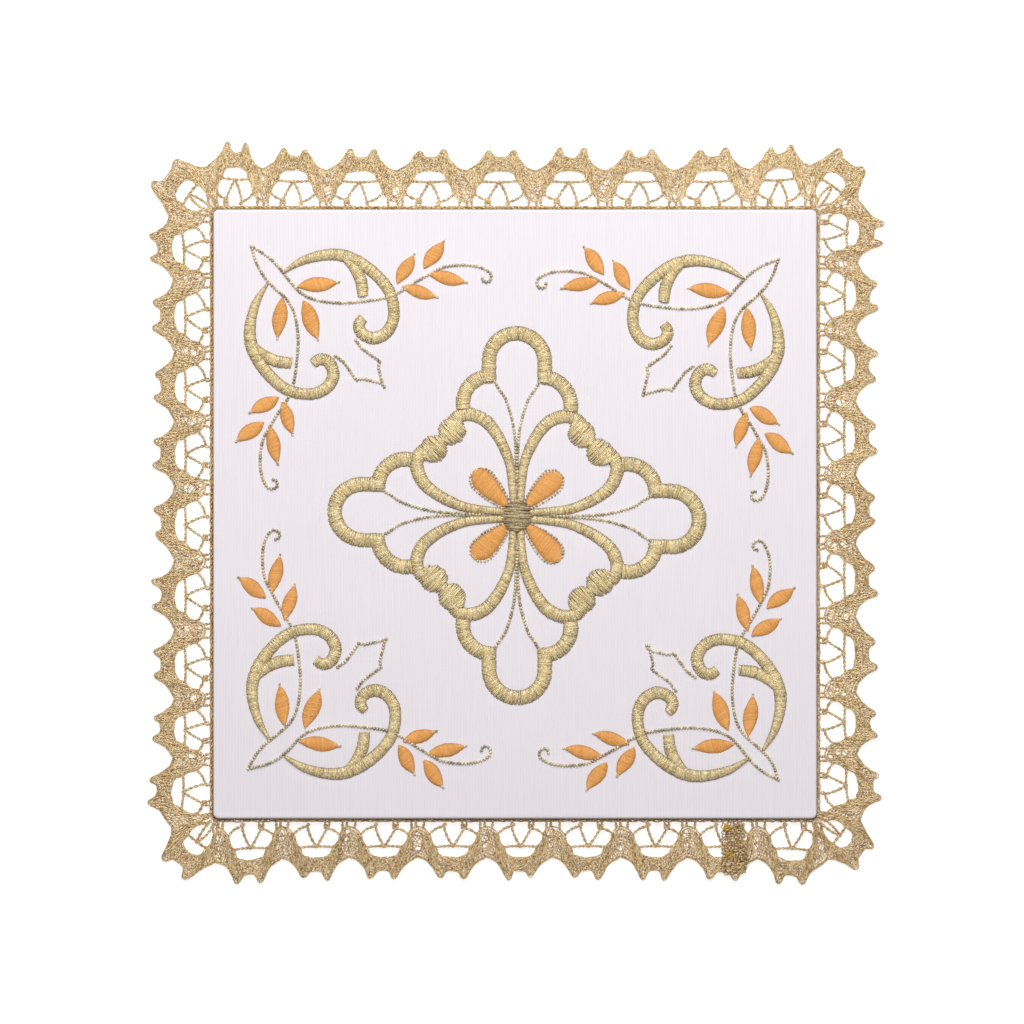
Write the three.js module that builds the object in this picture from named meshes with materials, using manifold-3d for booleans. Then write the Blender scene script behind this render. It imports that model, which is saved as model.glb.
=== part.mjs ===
// A chalice pall: a stiff square covered in white cloth, embroidered in gold and orange thread,
// with a strip of gold bobbin lace sewn round its edge.
// Millimetres, +Z up. The pall lies on the plane z = 0, with the middle of its panel over the
// origin and the top of the embroidered design towards +Y.

import * as THREE from "three";
import { mergeVertices } from "three/addons/utils/BufferGeometryUtils.js";
import Module from "manifold-3d";

const wasm = await Module();
wasm.setup();

// Driving dimensions

const PANEL = { width: 160, depth: 161.5, thickness: 3.6, cornerRadius: 1.5, edgeRadius: 1.0 };

// Heights that the stitching stands above the cloth, and how far it runs down into it.
const STITCH = { satinHeight: 0.7, leafHeight: 0.5, sunk: 0.5 };

// How finely round forms are cut into flat ones: the longest step along a band, in mm, and the
// number of pieces in each other form.
const FINENESS = {
  bandStep: 2.4,
  arcRows: 5,
  discSides: 14,
  leafSteps: 4,
  petalSteps: 9,
  panelCorner: 4,
  panelEdge: 3,
  joinSteps: 8,
};
const MERGE_DISTANCE = 1e-4;

// The lace: its thickness, the gap to the panel, and how it slopes from the seam to the table.
// The middle line runs along the strip at a set distance outside the panel.
const LACE = {
  thickness: 1.2,
  seamGap: 0.4,
  midline: 8,
  footRise: 1.3,
  slopeReach: 12,
  rippleRise: 0.7,
  rippleWaves: 11,
  ripplePhase: 0.8,
  deepest: 16,
  cornerGrowth: 0.14,
  growthPower: 6,
};

// Where the strip's two ends are folded over each other, on the side nearest -Y.
const JOIN = {
  middle: 58.3,
  width: 6.8,
  start: 0.5,
  reach: 14.9,
  bottom: 0.3,
  thickness: 2.0,
  wobble: 0.5,
  wobbleTurn: 2.3,
};

// The valleys between the scallops of each side, as distances along the strip's middle line from
// the middle of that side. The sides follow each other anticlockwise, and each is measured the way
// it runs. The first and last valleys are where the strip turns the panel's corners.
const VALLEYS = [
  { bottom: -79.4, right: -80.8, top: -78.7, left: -79.3 },
  { bottom: -62.0, right: -64.1, top: -62.5, left: -62.5 },
  { bottom: -44.3, right: -47.4, top: -42.7, left: -43.2 },
  { bottom: -26.0, right: -27.3, top: -24.1, left: -24.9 },
  { bottom: -7.7, right: -8.0, top: -5.6, left: -7.4 },
  { bottom: 9.8, right: 10.3, top: 13.0, left: 12.2 },
  { bottom: 28.1, right: 29.9, top: 31.5, left: 30.7 },
  { bottom: 45.8, right: 48.8, top: 50.1, left: 49.0 },
  { bottom: 64.4, right: 66.8, top: 67.0, left: 64.9 },
  { bottom: 82.0, right: 82.4, top: 81.2, left: 82.2 },
];

// One scallop. u runs along the seam from valley (-1) to valley (+1), and v outwards in mm.
const SCALLOP_EDGE = [
  { u: -1.0, v: 10.2 },
  { u: -0.74, v: 11.0 },
  { u: -0.52, v: 13.4 },
  { u: -0.4, v: 15.9 },
  { u: -0.26, v: 15.7 },
  { u: -0.15, v: 13.9 },
  { u: 0.16, v: 13.9 },
  { u: 0.25, v: 15.7 },
  { u: 0.4, v: 15.6 },
  { u: 0.64, v: 12.3 },
];

// The places along the seam where a scallop's inner edge has a point, from its end to its start.
const FOOT_STOPS = [1, 0.5, 0, -0.5, -1];

// The gaps that go through each scallop, between its arch, its knot and the legs to the seam.
const SCALLOP_GAPS = {
  lens: [
    { u: 0.46, v: 7.6 },
    { u: 0.05, v: 7.4 },
    { u: -0.4, v: 7.7 },
    { u: -0.34, v: 9.2 },
    { u: -0.12, v: 9.9 },
    { u: 0.18, v: 9.9 },
    { u: 0.4, v: 9.2 },
  ],
  first: [
    { u: -0.22, v: 2.7 },
    { u: -0.42, v: 2.8 },
    { u: -0.58, v: 4.2 },
    { u: -0.52, v: 6.0 },
    { u: -0.38, v: 6.9 },
    { u: -0.06, v: 6.8 },
  ],
  middle: [
    { u: 0.34, v: 0.8 },
    { u: -0.1, v: 0.8 },
    { u: -0.13, v: 2.6 },
    { u: 0.02, v: 6.3 },
    { u: 0.1, v: 6.3 },
    { u: 0.36, v: 2.4 },
  ],
  last: [
    { u: 0.56, v: 2.7 },
    { u: 0.4, v: 2.8 },
    { u: 0.17, v: 6.8 },
    { u: 0.5, v: 6.9 },
    { u: 0.68, v: 5.6 },
    { u: 0.7, v: 3.8 },
  ],
};

// The four-armed medallion, worked out for the arm that points to +Y.
const MEDALLION = {
  x: 0.5,
  y: -0.4,
  lean: -0.022,
  lobeRadius: 7.4,
  lobeCentre: 40.9,
  lobeFoot: 35.6,
  shoulderRadius: 7.4,
  shoulder: { x: -6.9, y: 29.4 },
  shoulderFrom: 88,
  shoulderTo: 190,
  bandWidth: 3.9,
  beadRadius: 3.6,
  beadDistance: 27.7,
  beadSpread: 3.4,
  buttonRadius: 4.1,
  petalStart: 1.8,
  petalLength: 14.5,
  petalWidth: 6.5,
};

// The form of a leaf: where along it its widest place is, and how its two ends close. A power of
// a half makes an end round, and a power of one or more makes it pointed.
const LEAF_FORM = { widest: 0.5, startPower: 0.8, endPower: 0.8 };
const PETAL_FORM = { widest: 0.77, startPower: 1.0, endPower: 0.5 };

// The curved band from a bead of the medallion to its middle.
const QUARTER_BAND = [
  { x: -17.4, y: 22.0, width: 3.4 },
  { x: -16.6, y: 25.0, width: 3.6 },
  { x: -13.3, y: 26.6, width: 3.6 },
  { x: -8.9, y: 25.3, width: 3.5 },
  { x: -5.8, y: 22.1, width: 3.2 },
  { x: -3.4, y: 17.8, width: 2.9 },
  { x: -1.7, y: 12.6, width: 2.5 },
  { x: -0.9, y: 3.5, width: 1.9 },
];

// Where the tip of each corner spray is, from the middle of the panel. The half along the panel's
// upper or lower edge and the half along its side are each moved in from their edge by a shift, and
// away from the tip by a push, of which the leaves beyond the scroll get half.
const CORNERS = [
  {
    side: -1,
    end: 1,
    x: -69.9,
    y: 71.0,
    edge: { shift: 2.0, push: 0.0 },
    flank: { shift: -0.6, push: 1.4 },
  },
  {
    side: 1,
    end: 1,
    x: 69.8,
    y: 67.5,
    edge: { shift: 0.1, push: 0.8 },
    flank: { shift: -0.3, push: 0.6 },
  },
  {
    side: -1,
    end: -1,
    x: -70.7,
    y: -67.5,
    edge: { shift: -1.6, push: 1.2 },
    flank: { shift: 0.8, push: -0.8 },
  },
  {
    side: 1,
    end: -1,
    x: 69.8,
    y: -70.4,
    edge: { shift: 0.7, push: -0.5 },
    flank: { shift: -0.8, push: -0.6 },
  },
];
const FULL_PUSH_TO = 38;
const HALF_PUSH_FROM = 48;

// Half a corner spray, from its tip: x along the panel's edge and y away from it.
const SCROLL = [
  { x: 8.7, y: 4.8, width: 0.7 },
  { x: 13.6, y: 1.9, width: 2.2 },
  { x: 20.0, y: 0.3, width: 3.0 },
  { x: 25.6, y: 0.9, width: 3.4 },
  { x: 31.8, y: 4.5, width: 3.2 },
  { x: 36.6, y: 10.0, width: 3.1 },
  { x: 37.8, y: 16.4, width: 3.1 },
  { x: 36.0, y: 20.7, width: 3.2 },
  { x: 32.6, y: 22.4, width: 3.3 },
  { x: 29.4, y: 21.2, width: 3.2 },
  { x: 28.5, y: 18.9, width: 3.1 },
  { x: 29.6, y: 17.2, width: 2.6 },
];
const THORN = [
  { x: 24.6, y: 1.4, width: 1.2 },
  { x: 27.4, y: 4.0, width: 2.7 },
  { x: 29.1, y: 7.2, width: 3.2 },
  { x: 29.6, y: 11.1, width: 2.9 },
];
const LEAVES = [
  { fromX: 38.7, fromY: 7.9, toX: 43.0, toY: 0.5, width: 3.9 },
  { fromX: 40.0, fromY: 8.8, toX: 49.0, toY: 11.5, width: 3.6 },
  { fromX: 45.8, fromY: 3.9, toX: 50.9, toY: -3.1, width: 4.0 },
  { fromX: 46.9, fromY: 5.4, toX: 56.8, toY: 7.6, width: 3.7 },
  { fromX: 12.2, fromY: 8.8, toX: 22.9, toY: 7.6, width: 4.0 },
];
const MIDDLE_LEAF = { fromX: 13.8, fromY: 12.4, toX: 17.6, toY: 22.5, width: 4.4 };

const CLOTH = new THREE.MeshStandardMaterial({ color: 0xf2edf2, roughness: 0.85, metalness: 0 });
const GOLD_LACE = new THREE.MeshStandardMaterial({ color: 0xc9a265, roughness: 0.45, metalness: 0.6 });

// Solids

function solidOf(geometry) {
  const bare = geometry.index ? geometry.toNonIndexed() : geometry.clone();
  bare.deleteAttribute("normal");
  bare.deleteAttribute("uv");
  const merged = mergeVertices(bare, MERGE_DISTANCE);
  return new wasm.Manifold(
    new wasm.Mesh({
      numProp: 3,
      vertProperties: merged.attributes.position.array,
      triVerts: new Uint32Array(merged.index.array),
    }),
  );
}

function geometryOf(solid) {
  const mesh = solid.getMesh();
  const geometry = new THREE.BufferGeometry();
  geometry.setAttribute("position", new THREE.BufferAttribute(mesh.vertProperties, 3));
  geometry.setIndex(new THREE.BufferAttribute(mesh.triVerts, 1));
  geometry.computeVertexNormals();
  return geometry;
}

function extruded(shape, bottom, height) {
  const geometry = new THREE.ExtrudeGeometry(shape, { depth: height, bevelEnabled: false });
  return geometry.translate(0, 0, bottom);
}

// The panel

function roundedRectangle(halfWidth, halfDepth, radius) {
  const outline = new THREE.Shape();
  const right = halfWidth - radius;
  const top = halfDepth - radius;
  const quarter = Math.PI / 2;
  outline.absarc(right, top, radius, 0, quarter);
  outline.absarc(-right, top, radius, quarter, 2 * quarter);
  outline.absarc(-right, -top, radius, 2 * quarter, 3 * quarter);
  outline.absarc(right, -top, radius, 3 * quarter, 4 * quarter);
  outline.closePath();
  return outline;
}

function panelBoard() {
  const { width, depth, thickness, cornerRadius, edgeRadius } = PANEL;
  const outline = roundedRectangle(width / 2, depth / 2, cornerRadius);
  const geometry = new THREE.ExtrudeGeometry(outline, {
    depth: thickness - 2 * edgeRadius,
    curveSegments: FINENESS.panelCorner,
    bevelEnabled: true,
    bevelThickness: edgeRadius,
    bevelSize: edgeRadius,
    bevelOffset: -edgeRadius,
    bevelSegments: FINENESS.panelEdge,
  });
  return geometry.translate(0, 0, edgeRadius);
}

// Stitching: every form is a closed outline drawn through a placing function

function bandOutline(rows, place) {
  const line = new THREE.SplineCurve(rows.map((row) => new THREE.Vector2(row.x, row.y)));
  const steps = Math.max(rows.length, Math.ceil(line.getLength() / FINENESS.bandStep));
  const left = [];
  const right = [];
  for (let i = 0; i <= steps; i++) {
    const t = i / steps;
    const point = line.getPoint(t);
    const tangent = line.getTangent(t);
    const across = new THREE.Vector2(-tangent.y, tangent.x);
    const row = t * (rows.length - 1);
    const before = Math.min(Math.floor(row), rows.length - 2);
    const half = THREE.MathUtils.lerp(rows[before].width, rows[before + 1].width, row - before) / 2;
    left.push(place(point.clone().addScaledVector(across, half)));
    right.push(place(point.clone().addScaledVector(across, -half)));
  }
  return new THREE.Shape([...left, ...right.reverse()]);
}

function arcRows(centre, radius, fromDegrees, toDegrees, width) {
  return Array.from({ length: FINENESS.arcRows }, (_, i) => {
    const degrees = THREE.MathUtils.lerp(fromDegrees, toDegrees, i / (FINENESS.arcRows - 1));
    const angle = THREE.MathUtils.degToRad(degrees);
    return {
      x: centre.x + radius * Math.cos(angle),
      y: centre.y + radius * Math.sin(angle),
      width,
    };
  });
}

function discOutline(centre, radius, place) {
  const points = Array.from({ length: FINENESS.discSides }, (_, i) => {
    const angle = (2 * Math.PI * i) / FINENESS.discSides;
    const spoke = new THREE.Vector2(Math.cos(angle), Math.sin(angle)).multiplyScalar(radius);
    return place(spoke.add(centre));
  });
  return new THREE.Shape(points);
}

// A leaf is pointed at both ends, and a petal only at its start.
function leafOutline(leaf, place, steps = FINENESS.leafSteps, form = LEAF_FORM) {
  const start = new THREE.Vector2(leaf.fromX, leaf.fromY);
  const end = new THREE.Vector2(leaf.toX, leaf.toY);
  const along = end.clone().sub(start);
  const across = new THREE.Vector2(-along.y, along.x).normalize();
  const { widest, startPower, endPower } = form;
  const edge = (sign) =>
    Array.from({ length: steps - 1 }, (_, i) => {
      const t = (i + 1) / steps;
      const rise = t < widest ? t / widest : (1 - t) / (1 - widest);
      const power = t < widest ? startPower : endPower;
      const half = (leaf.width / 2) * Math.sin((rise * Math.PI) / 2) ** power;
      return start.clone().addScaledVector(along, t).addScaledVector(across, sign * half);
    });
  return new THREE.Shape([start, ...edge(-1), end, ...edge(1).reverse()].map(place));
}

function medallionPlace(quarterTurns, mirrored) {
  const turn = (quarterTurns * Math.PI) / 2;
  return (point) => {
    const flipped = new THREE.Vector2(mirrored ? -point.x : point.x, point.y);
    const turned = flipped.rotateAround(new THREE.Vector2(), turn);
    return new THREE.Vector2(MEDALLION.x + turned.x, MEDALLION.y + turned.y + MEDALLION.lean * turned.x);
  };
}

function medallionOutlines() {
  const m = MEDALLION;
  const arch = [
    { x: -m.lobeRadius, y: m.lobeFoot, width: m.bandWidth },
    ...arcRows({ x: 0, y: m.lobeCentre }, m.lobeRadius, 180, 0, m.bandWidth),
    { x: m.lobeRadius, y: m.lobeFoot, width: m.bandWidth },
  ];
  const shoulder = arcRows(m.shoulder, m.shoulderRadius, m.shoulderFrom, m.shoulderTo, m.bandWidth);
  const diagonal = Math.SQRT1_2;
  const bead = {
    x: diagonal * (m.beadSpread - m.beadDistance),
    y: diagonal * (m.beadSpread + m.beadDistance),
  };
  const satin = [discOutline({ x: 0, y: 0 }, m.buttonRadius, medallionPlace(0, false))];
  const petals = [];
  for (let quarter = 0; quarter < 4; quarter++) {
    satin.push(bandOutline(arch, medallionPlace(quarter, false)));
    for (const mirrored of [false, true]) {
      const place = medallionPlace(quarter, mirrored);
      satin.push(bandOutline(shoulder, place));
      satin.push(bandOutline(QUARTER_BAND, place));
      satin.push(discOutline(bead, m.beadRadius, place));
    }
    const start = diagonal * m.petalStart;
    const end = diagonal * (m.petalStart + m.petalLength);
    const petal = { fromX: -start, fromY: start, toX: -end, toY: end, width: m.petalWidth };
    petals.push(leafOutline(petal, medallionPlace(quarter, false), FINENESS.petalSteps, PETAL_FORM));
  }
  return { satin, petals };
}

function cornerPlace(corner, mirrored) {
  const { shift, push } = mirrored ? corner.flank : corner.edge;
  return (point) => {
    const beyond = (point.x - FULL_PUSH_TO) / (HALF_PUSH_FROM - FULL_PUSH_TO);
    const along = point.x + push * (1 - THREE.MathUtils.clamp(beyond, 0, 1) / 2);
    const away = point.y + shift;
    return new THREE.Vector2(
      corner.x - corner.side * (mirrored ? away : along),
      corner.y - corner.end * (mirrored ? along : away),
    );
  };
}

function cornerOutlines(corner) {
  const satin = [];
  const leaves = [leafOutline(MIDDLE_LEAF, cornerPlace(corner, false))];
  for (const mirrored of [false, true]) {
    const place = cornerPlace(corner, mirrored);
    satin.push(bandOutline(SCROLL, place));
    satin.push(bandOutline(THORN, place));
    leaves.push(...LEAVES.map((leaf) => leafOutline(leaf, place)));
  }
  return { satin, leaves };
}

function embroideredPanel() {
  const medallion = medallionOutlines();
  const corners = CORNERS.map(cornerOutlines);
  const satin = [...medallion.satin, ...corners.flatMap((corner) => corner.satin)];
  const filled = [...medallion.petals, ...corners.flatMap((corner) => corner.leaves)];
  const bottom = PANEL.thickness - STITCH.sunk;
  const raise = (height) => (shape) => solidOf(extruded(shape, bottom, STITCH.sunk + height));
  const stitches = [...satin.map(raise(STITCH.satinHeight)), ...filled.map(raise(STITCH.leafHeight))];
  const whole = stitches.reduce((sum, stitch) => sum.add(stitch), solidOf(panelBoard()));
  return geometryOf(whole);
}

// The lace

const SEAM = {
  x: PANEL.width / 2 + LACE.seamGap,
  y: PANEL.depth / 2 + LACE.seamGap,
  radius: PANEL.cornerRadius + LACE.seamGap,
};
const RIGHT = new THREE.Vector2(1, 0);
const UP = new THREE.Vector2(0, 1);
const LEFT = RIGHT.clone().negate();
const DOWN = UP.clone().negate();
const SIDES = [
  { name: "bottom", along: RIGHT, out: DOWN, half: SEAM.x, reach: SEAM.y },
  { name: "right", along: UP, out: RIGHT, half: SEAM.y, reach: SEAM.x },
  { name: "top", along: LEFT, out: UP, half: SEAM.x, reach: SEAM.y },
  { name: "left", along: DOWN, out: LEFT, half: SEAM.y, reach: SEAM.x },
];
const MIDLINE_RADIUS = SEAM.radius + LACE.midline;

function straightHalf(side) {
  return side.half - SEAM.radius;
}

// The lace stands a little deeper towards the corners of the panel.
function depthAt(side, distance) {
  const share = Math.min(Math.abs(distance) / straightHalf(side), 1);
  return 1 + LACE.cornerGrowth * share ** LACE.growthPower;
}

// Places u and v of one scallop. Past the straight part of a side the strip fans round the
// centre of the panel's rounded corner.
function scallopOn(side, from, to) {
  const straight = straightHalf(side);
  return (u, v) => {
    const distance = (from + to) / 2 + (u * (to - from)) / 2;
    const onStraight = THREE.MathUtils.clamp(distance, -straight, straight);
    const angle = (distance - onStraight) / MIDLINE_RADIUS;
    const direction = new THREE.Vector2()
      .addScaledVector(side.out, Math.cos(angle))
      .addScaledVector(side.along, Math.sin(angle));
    return new THREE.Vector2()
      .addScaledVector(side.along, onStraight)
      .addScaledVector(side.out, side.reach - SEAM.radius)
      .addScaledVector(direction, SEAM.radius + v * depthAt(side, distance));
  };
}

// Nine scallops along each side and one round the corner after it. The corner's legs are drawn
// together at the seam, so its middle gap is closed.
function scallops() {
  const { lens, first, middle, last } = SCALLOP_GAPS;
  return SIDES.flatMap((side, i) => {
    const next = SIDES[(i + 1) % SIDES.length];
    const stops = VALLEYS.map((row) => row[side.name]);
    const cornerStart = stops[stops.length - 1];
    const cornerEnd =
      straightHalf(side) + (Math.PI / 2) * MIDLINE_RADIUS + VALLEYS[0][next.name] + straightHalf(next);
    const along = stops.slice(1).map((to, row) => ({
      place: scallopOn(side, stops[row], to),
      gaps: [lens, first, middle, last],
    }));
    return [...along, { place: scallopOn(side, cornerStart, cornerEnd), gaps: [lens, first, last] }];
  });
}

// How high the underside of the lace is at a place, from its distance outside the panel.
function laceUnderside(x, y) {
  const { footRise, slopeReach, rippleRise, rippleWaves, ripplePhase, deepest } = LACE;
  const outX = Math.max(Math.abs(x) - SEAM.x + SEAM.radius, 0);
  const outY = Math.max(Math.abs(y) - SEAM.y + SEAM.radius, 0);
  const out = Math.max(Math.hypot(outX, outY) - SEAM.radius, 0);
  const slope = footRise * Math.max(0, 1 - out / slopeReach) ** 2;
  const ripple = Math.max(0, Math.sin(rippleWaves * Math.atan2(y, x) + ripplePhase));
  return slope + rippleRise * ripple * (out / deepest) ** 2;
}

function laidOnTable(geometry) {
  const position = geometry.getAttribute("position");
  for (let i = 0; i < position.count; i++) {
    position.setZ(i, position.getZ(i) + laceUnderside(position.getX(i), position.getY(i)));
  }
  return geometry;
}

function foldedEnds() {
  const { middle, width, start, reach, bottom, thickness, wobble, wobbleTurn } = JOIN;
  const place = scallopOn(SIDES[0], middle - width / 2, middle + width / 2);
  const edge = (sign) =>
    Array.from({ length: FINENESS.joinSteps + 1 }, (_, i) => {
      const waver = (2 * wobble * Math.sin(wobbleTurn * i + sign)) / width;
      const v = THREE.MathUtils.lerp(start, reach, i / FINENESS.joinSteps);
      return place(sign * (1 - Math.abs(waver)), v);
    });
  const outline = new THREE.Shape([...edge(-1), ...edge(1).reverse()]);
  return laidOnTable(extruded(outline, bottom, thickness));
}

// Walls round a ring of points, with the material on its left, apart from its shared edges.
function ringWalls(ring, sharedEdges = []) {
  return ring.flatMap((a, i) => {
    if (sharedEdges.includes(i)) {
      return [];
    }
    const b = ring[(i + 1) % ring.length];
    const [lowA, lowB, highA, highB] = [atHeight(a, 0), atHeight(b, 0), atHeight(a, 1), atHeight(b, 1)];
    return [lowA, lowB, highB, lowA, highB, highA];
  });
}

function atHeight(point, share) {
  return new THREE.Vector3(point.x, point.y, share * LACE.thickness);
}

// One scallop as triangles: its two faces, the walls of its gaps and of its free edges. It shares
// the edges at its two valleys with the scallops beside it.
function scallopTriangles({ place, gaps }) {
  const edge = [...SCALLOP_EDGE, { u: 1, v: SCALLOP_EDGE[0].v }].map(({ u, v }) => place(u, v));
  const foot = FOOT_STOPS.map((u) => place(u, 0));
  const outline = [...edge, ...foot];
  const holes = gaps.map((gap) => {
    const ring = gap.map(({ u, v }) => place(u, v));
    return THREE.ShapeUtils.isClockWise(ring) ? ring : ring.reverse();
  });
  const points = [...outline, ...holes.flat()];
  const faces = THREE.ShapeUtils.triangulateShape(outline, holes);
  const top = faces.flatMap(([a, b, c]) => [a, b, c].map((i) => atHeight(points[i], 1)));
  const bottom = faces.flatMap(([a, b, c]) => [a, c, b].map((i) => atHeight(points[i], 0)));
  const freeEdges = ringWalls(outline, [edge.length - 1, outline.length - 1]);
  return [...top, ...bottom, ...freeEdges, ...holes.flatMap((ring) => ringWalls(ring))];
}

function laceEdging() {
  const strip = new THREE.BufferGeometry().setFromPoints(scallops().flatMap(scallopTriangles));
  return geometryOf(solidOf(laidOnTable(strip)).add(solidOf(foldedEnds())));
}

// The pall

function named(name, geometry, material) {
  const mesh = new THREE.Mesh(geometry, material);
  mesh.name = name;
  return mesh;
}

const pall = new THREE.Group();
pall.add(named("pall_panel", embroideredPanel(), CLOTH));
pall.add(named("lace_edging", laceEdging(), GOLD_LACE));

export default pall;
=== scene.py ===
"""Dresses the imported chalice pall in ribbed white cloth, gold and orange thread and gold bobbin lace.

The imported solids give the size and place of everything. The tables are in millimetres from the
middle of the panel, +Y towards the top of the design, and become metres when a mesh is made.
"""

from __future__ import annotations

import logging
import math
import random
from collections.abc import Callable, Iterable, Iterator
from dataclasses import dataclass, field, replace
from enum import Enum

import bpy
import numpy as np
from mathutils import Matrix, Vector

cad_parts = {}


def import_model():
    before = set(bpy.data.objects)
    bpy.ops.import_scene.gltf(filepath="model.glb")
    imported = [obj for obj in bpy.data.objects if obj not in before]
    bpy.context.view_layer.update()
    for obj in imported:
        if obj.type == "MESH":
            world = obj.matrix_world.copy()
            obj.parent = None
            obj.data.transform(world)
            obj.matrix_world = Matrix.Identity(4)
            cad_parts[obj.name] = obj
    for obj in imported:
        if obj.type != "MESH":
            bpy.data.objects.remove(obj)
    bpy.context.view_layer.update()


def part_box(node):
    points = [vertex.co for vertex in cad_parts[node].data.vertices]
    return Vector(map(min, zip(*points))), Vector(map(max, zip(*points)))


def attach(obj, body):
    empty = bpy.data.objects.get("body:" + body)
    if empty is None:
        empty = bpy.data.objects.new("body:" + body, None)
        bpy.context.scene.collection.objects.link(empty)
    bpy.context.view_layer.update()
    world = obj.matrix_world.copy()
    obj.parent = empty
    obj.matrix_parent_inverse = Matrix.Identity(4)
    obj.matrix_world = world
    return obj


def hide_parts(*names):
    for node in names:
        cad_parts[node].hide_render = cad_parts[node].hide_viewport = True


MM = 0.001
BODY = "root"
PANEL_NODE = "pall_panel"
LACE_NODE = "lace_edging"
ROOT_HALF = math.sqrt(0.5)
SATIN_RISE = 0.7

Colour = tuple[float, float, float]
Pair = tuple[float, float]
Place = Callable[[np.ndarray], np.ndarray]
Lift = np.ndarray | float
log = logging.getLogger("pall")


# Nodes


class Value:
    """The output of a node, which can be used in Python expressions."""

    def __init__(self, graph: Graph, socket: bpy.types.NodeSocket | None) -> None:
        """Keeps the socket and the graph that it belongs to."""
        self.graph = graph
        self.socket = socket

    def other(self, name: str) -> Value:
        """Another output of the same node."""
        return Value(self.graph, self.socket.node.outputs[name])

    def __add__(self, term: Value | float) -> Value:
        """This plus a term."""
        return self.graph.maths("ADD", self, term)

    __radd__ = __add__

    def __sub__(self, term: Value | float) -> Value:
        """This minus a term."""
        return self.graph.maths("SUBTRACT", self, term)

    def __rsub__(self, term: float) -> Value:
        """A number minus this."""
        return self.graph.maths("SUBTRACT", term, self)

    def __mul__(self, term: Value | float) -> Value:
        """This times a term."""
        return self.graph.maths("MULTIPLY", self, term)

    __rmul__ = __mul__

    def __pow__(self, power: float) -> Value:
        """This to a power."""
        return self.graph.maths("POWER", self, power)

    def sine(self) -> Value:
        """The sine of this, in radians."""
        return self.graph.maths("SINE", self)

    def magnitude(self) -> Value:
        """This without its sign."""
        return self.graph.maths("ABSOLUTE", self)

    def between(self, low: float, high: float) -> Value:
        """How far this is from low to high, kept from 0 to 1."""
        ends = {"Value": self, "From Min": low, "From Max": high}
        return self.graph.node("ShaderNodeMapRange", {"clamp": True}, ends)


class Graph:
    """Makes the nodes of one tree, with links given as values and constants as numbers."""

    def __init__(self, tree: bpy.types.NodeTree) -> None:
        """Empties the tree."""
        self.tree = tree
        tree.nodes.clear()

    def node(self, kind: str, settings: dict | None = None, inputs: dict | None = None) -> Value:
        """Makes one node.

        Args:
            kind: The node's type.
            settings: The node's own properties, which are set first.
            inputs: A value, constant or list of values for each socket, by name or by position.

        Returns:
            The node's first output that is in use.
        """
        made = self.tree.nodes.new(kind)
        for name, setting in (settings or {}).items():
            setattr(made, name, setting)
        ready = [socket for socket in made.inputs if socket.enabled]
        for key, given in (inputs or {}).items():
            socket = ready[key] if isinstance(key, int) else next(s for s in ready if s.name == key)
            for term in given if isinstance(given, list) else [given]:
                if isinstance(term, Value):
                    self.tree.links.new(term.socket, socket)
                else:
                    socket.default_value = term
        return Value(self, next((socket for socket in made.outputs if socket.enabled), None))

    def maths(self, operation: str, *terms: Value | float) -> Value:
        """One step of arithmetic on values and numbers."""
        return self.node("ShaderNodeMath", {"operation": operation}, dict(enumerate(terms)))

    def mix(self, share: Value | float, first: Value | Colour, second: Value | Colour) -> Value:
        """A colour between two others."""
        ends = [term if isinstance(term, Value) else (*term, 1.0) for term in (first, second)]
        inputs = {"Factor": share, "A": ends[0], "B": ends[1]}
        return self.node("ShaderNodeMix", {"data_type": "RGBA"}, inputs)

    def vector(self, x: Value | float = 0.0, y: Value | float = 0.0, z: Value | float = 0.0) -> Value:
        """A vector from three values."""
        return self.node("ShaderNodeCombineXYZ", None, {"X": x, "Y": y, "Z": z})


# Finishes


def shader(name: str) -> tuple[bpy.types.Material, Graph]:
    """A new material and the graph of its nodes."""
    material = bpy.data.materials.new(name)
    material.use_nodes = True
    return material, Graph(material.node_tree)


def noise(graph: Graph, place: Value, scale: float, detail: float = 2.0) -> Value:
    """Soft three-dimensional noise from 0 to 1."""
    return graph.node("ShaderNodeTexNoise", None, {"Vector": place, "Scale": scale, "Detail": detail})


def object_place(graph: Graph) -> Value:
    """The place on the piece, in metres from the middle of the panel's underside."""
    return graph.node("ShaderNodeTexCoord").other("Object")


def attribute(graph: Graph, name: str) -> Value:
    """A number that the mesh keeps at each point."""
    return graph.node("ShaderNodeAttribute", {"attribute_name": name}).other("Fac")


def surface(graph: Graph, height: Value, depth: float, inputs: dict) -> None:
    """Ends a material in one shader with a bump.

    Args:
        graph: The material's nodes.
        height: The bump's height, from 0 to 1.
        depth: The depth of the bump in metres.
        inputs: The shader's own sockets.
    """
    bump = graph.node("ShaderNodeBump", None, {"Strength": 0.6, "Distance": depth, "Height": height})
    whole = graph.node("ShaderNodeBsdfPrincipled", None, {**inputs, "Normal": bump})
    graph.node("ShaderNodeOutputMaterial", None, {"Surface": whole})


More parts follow.
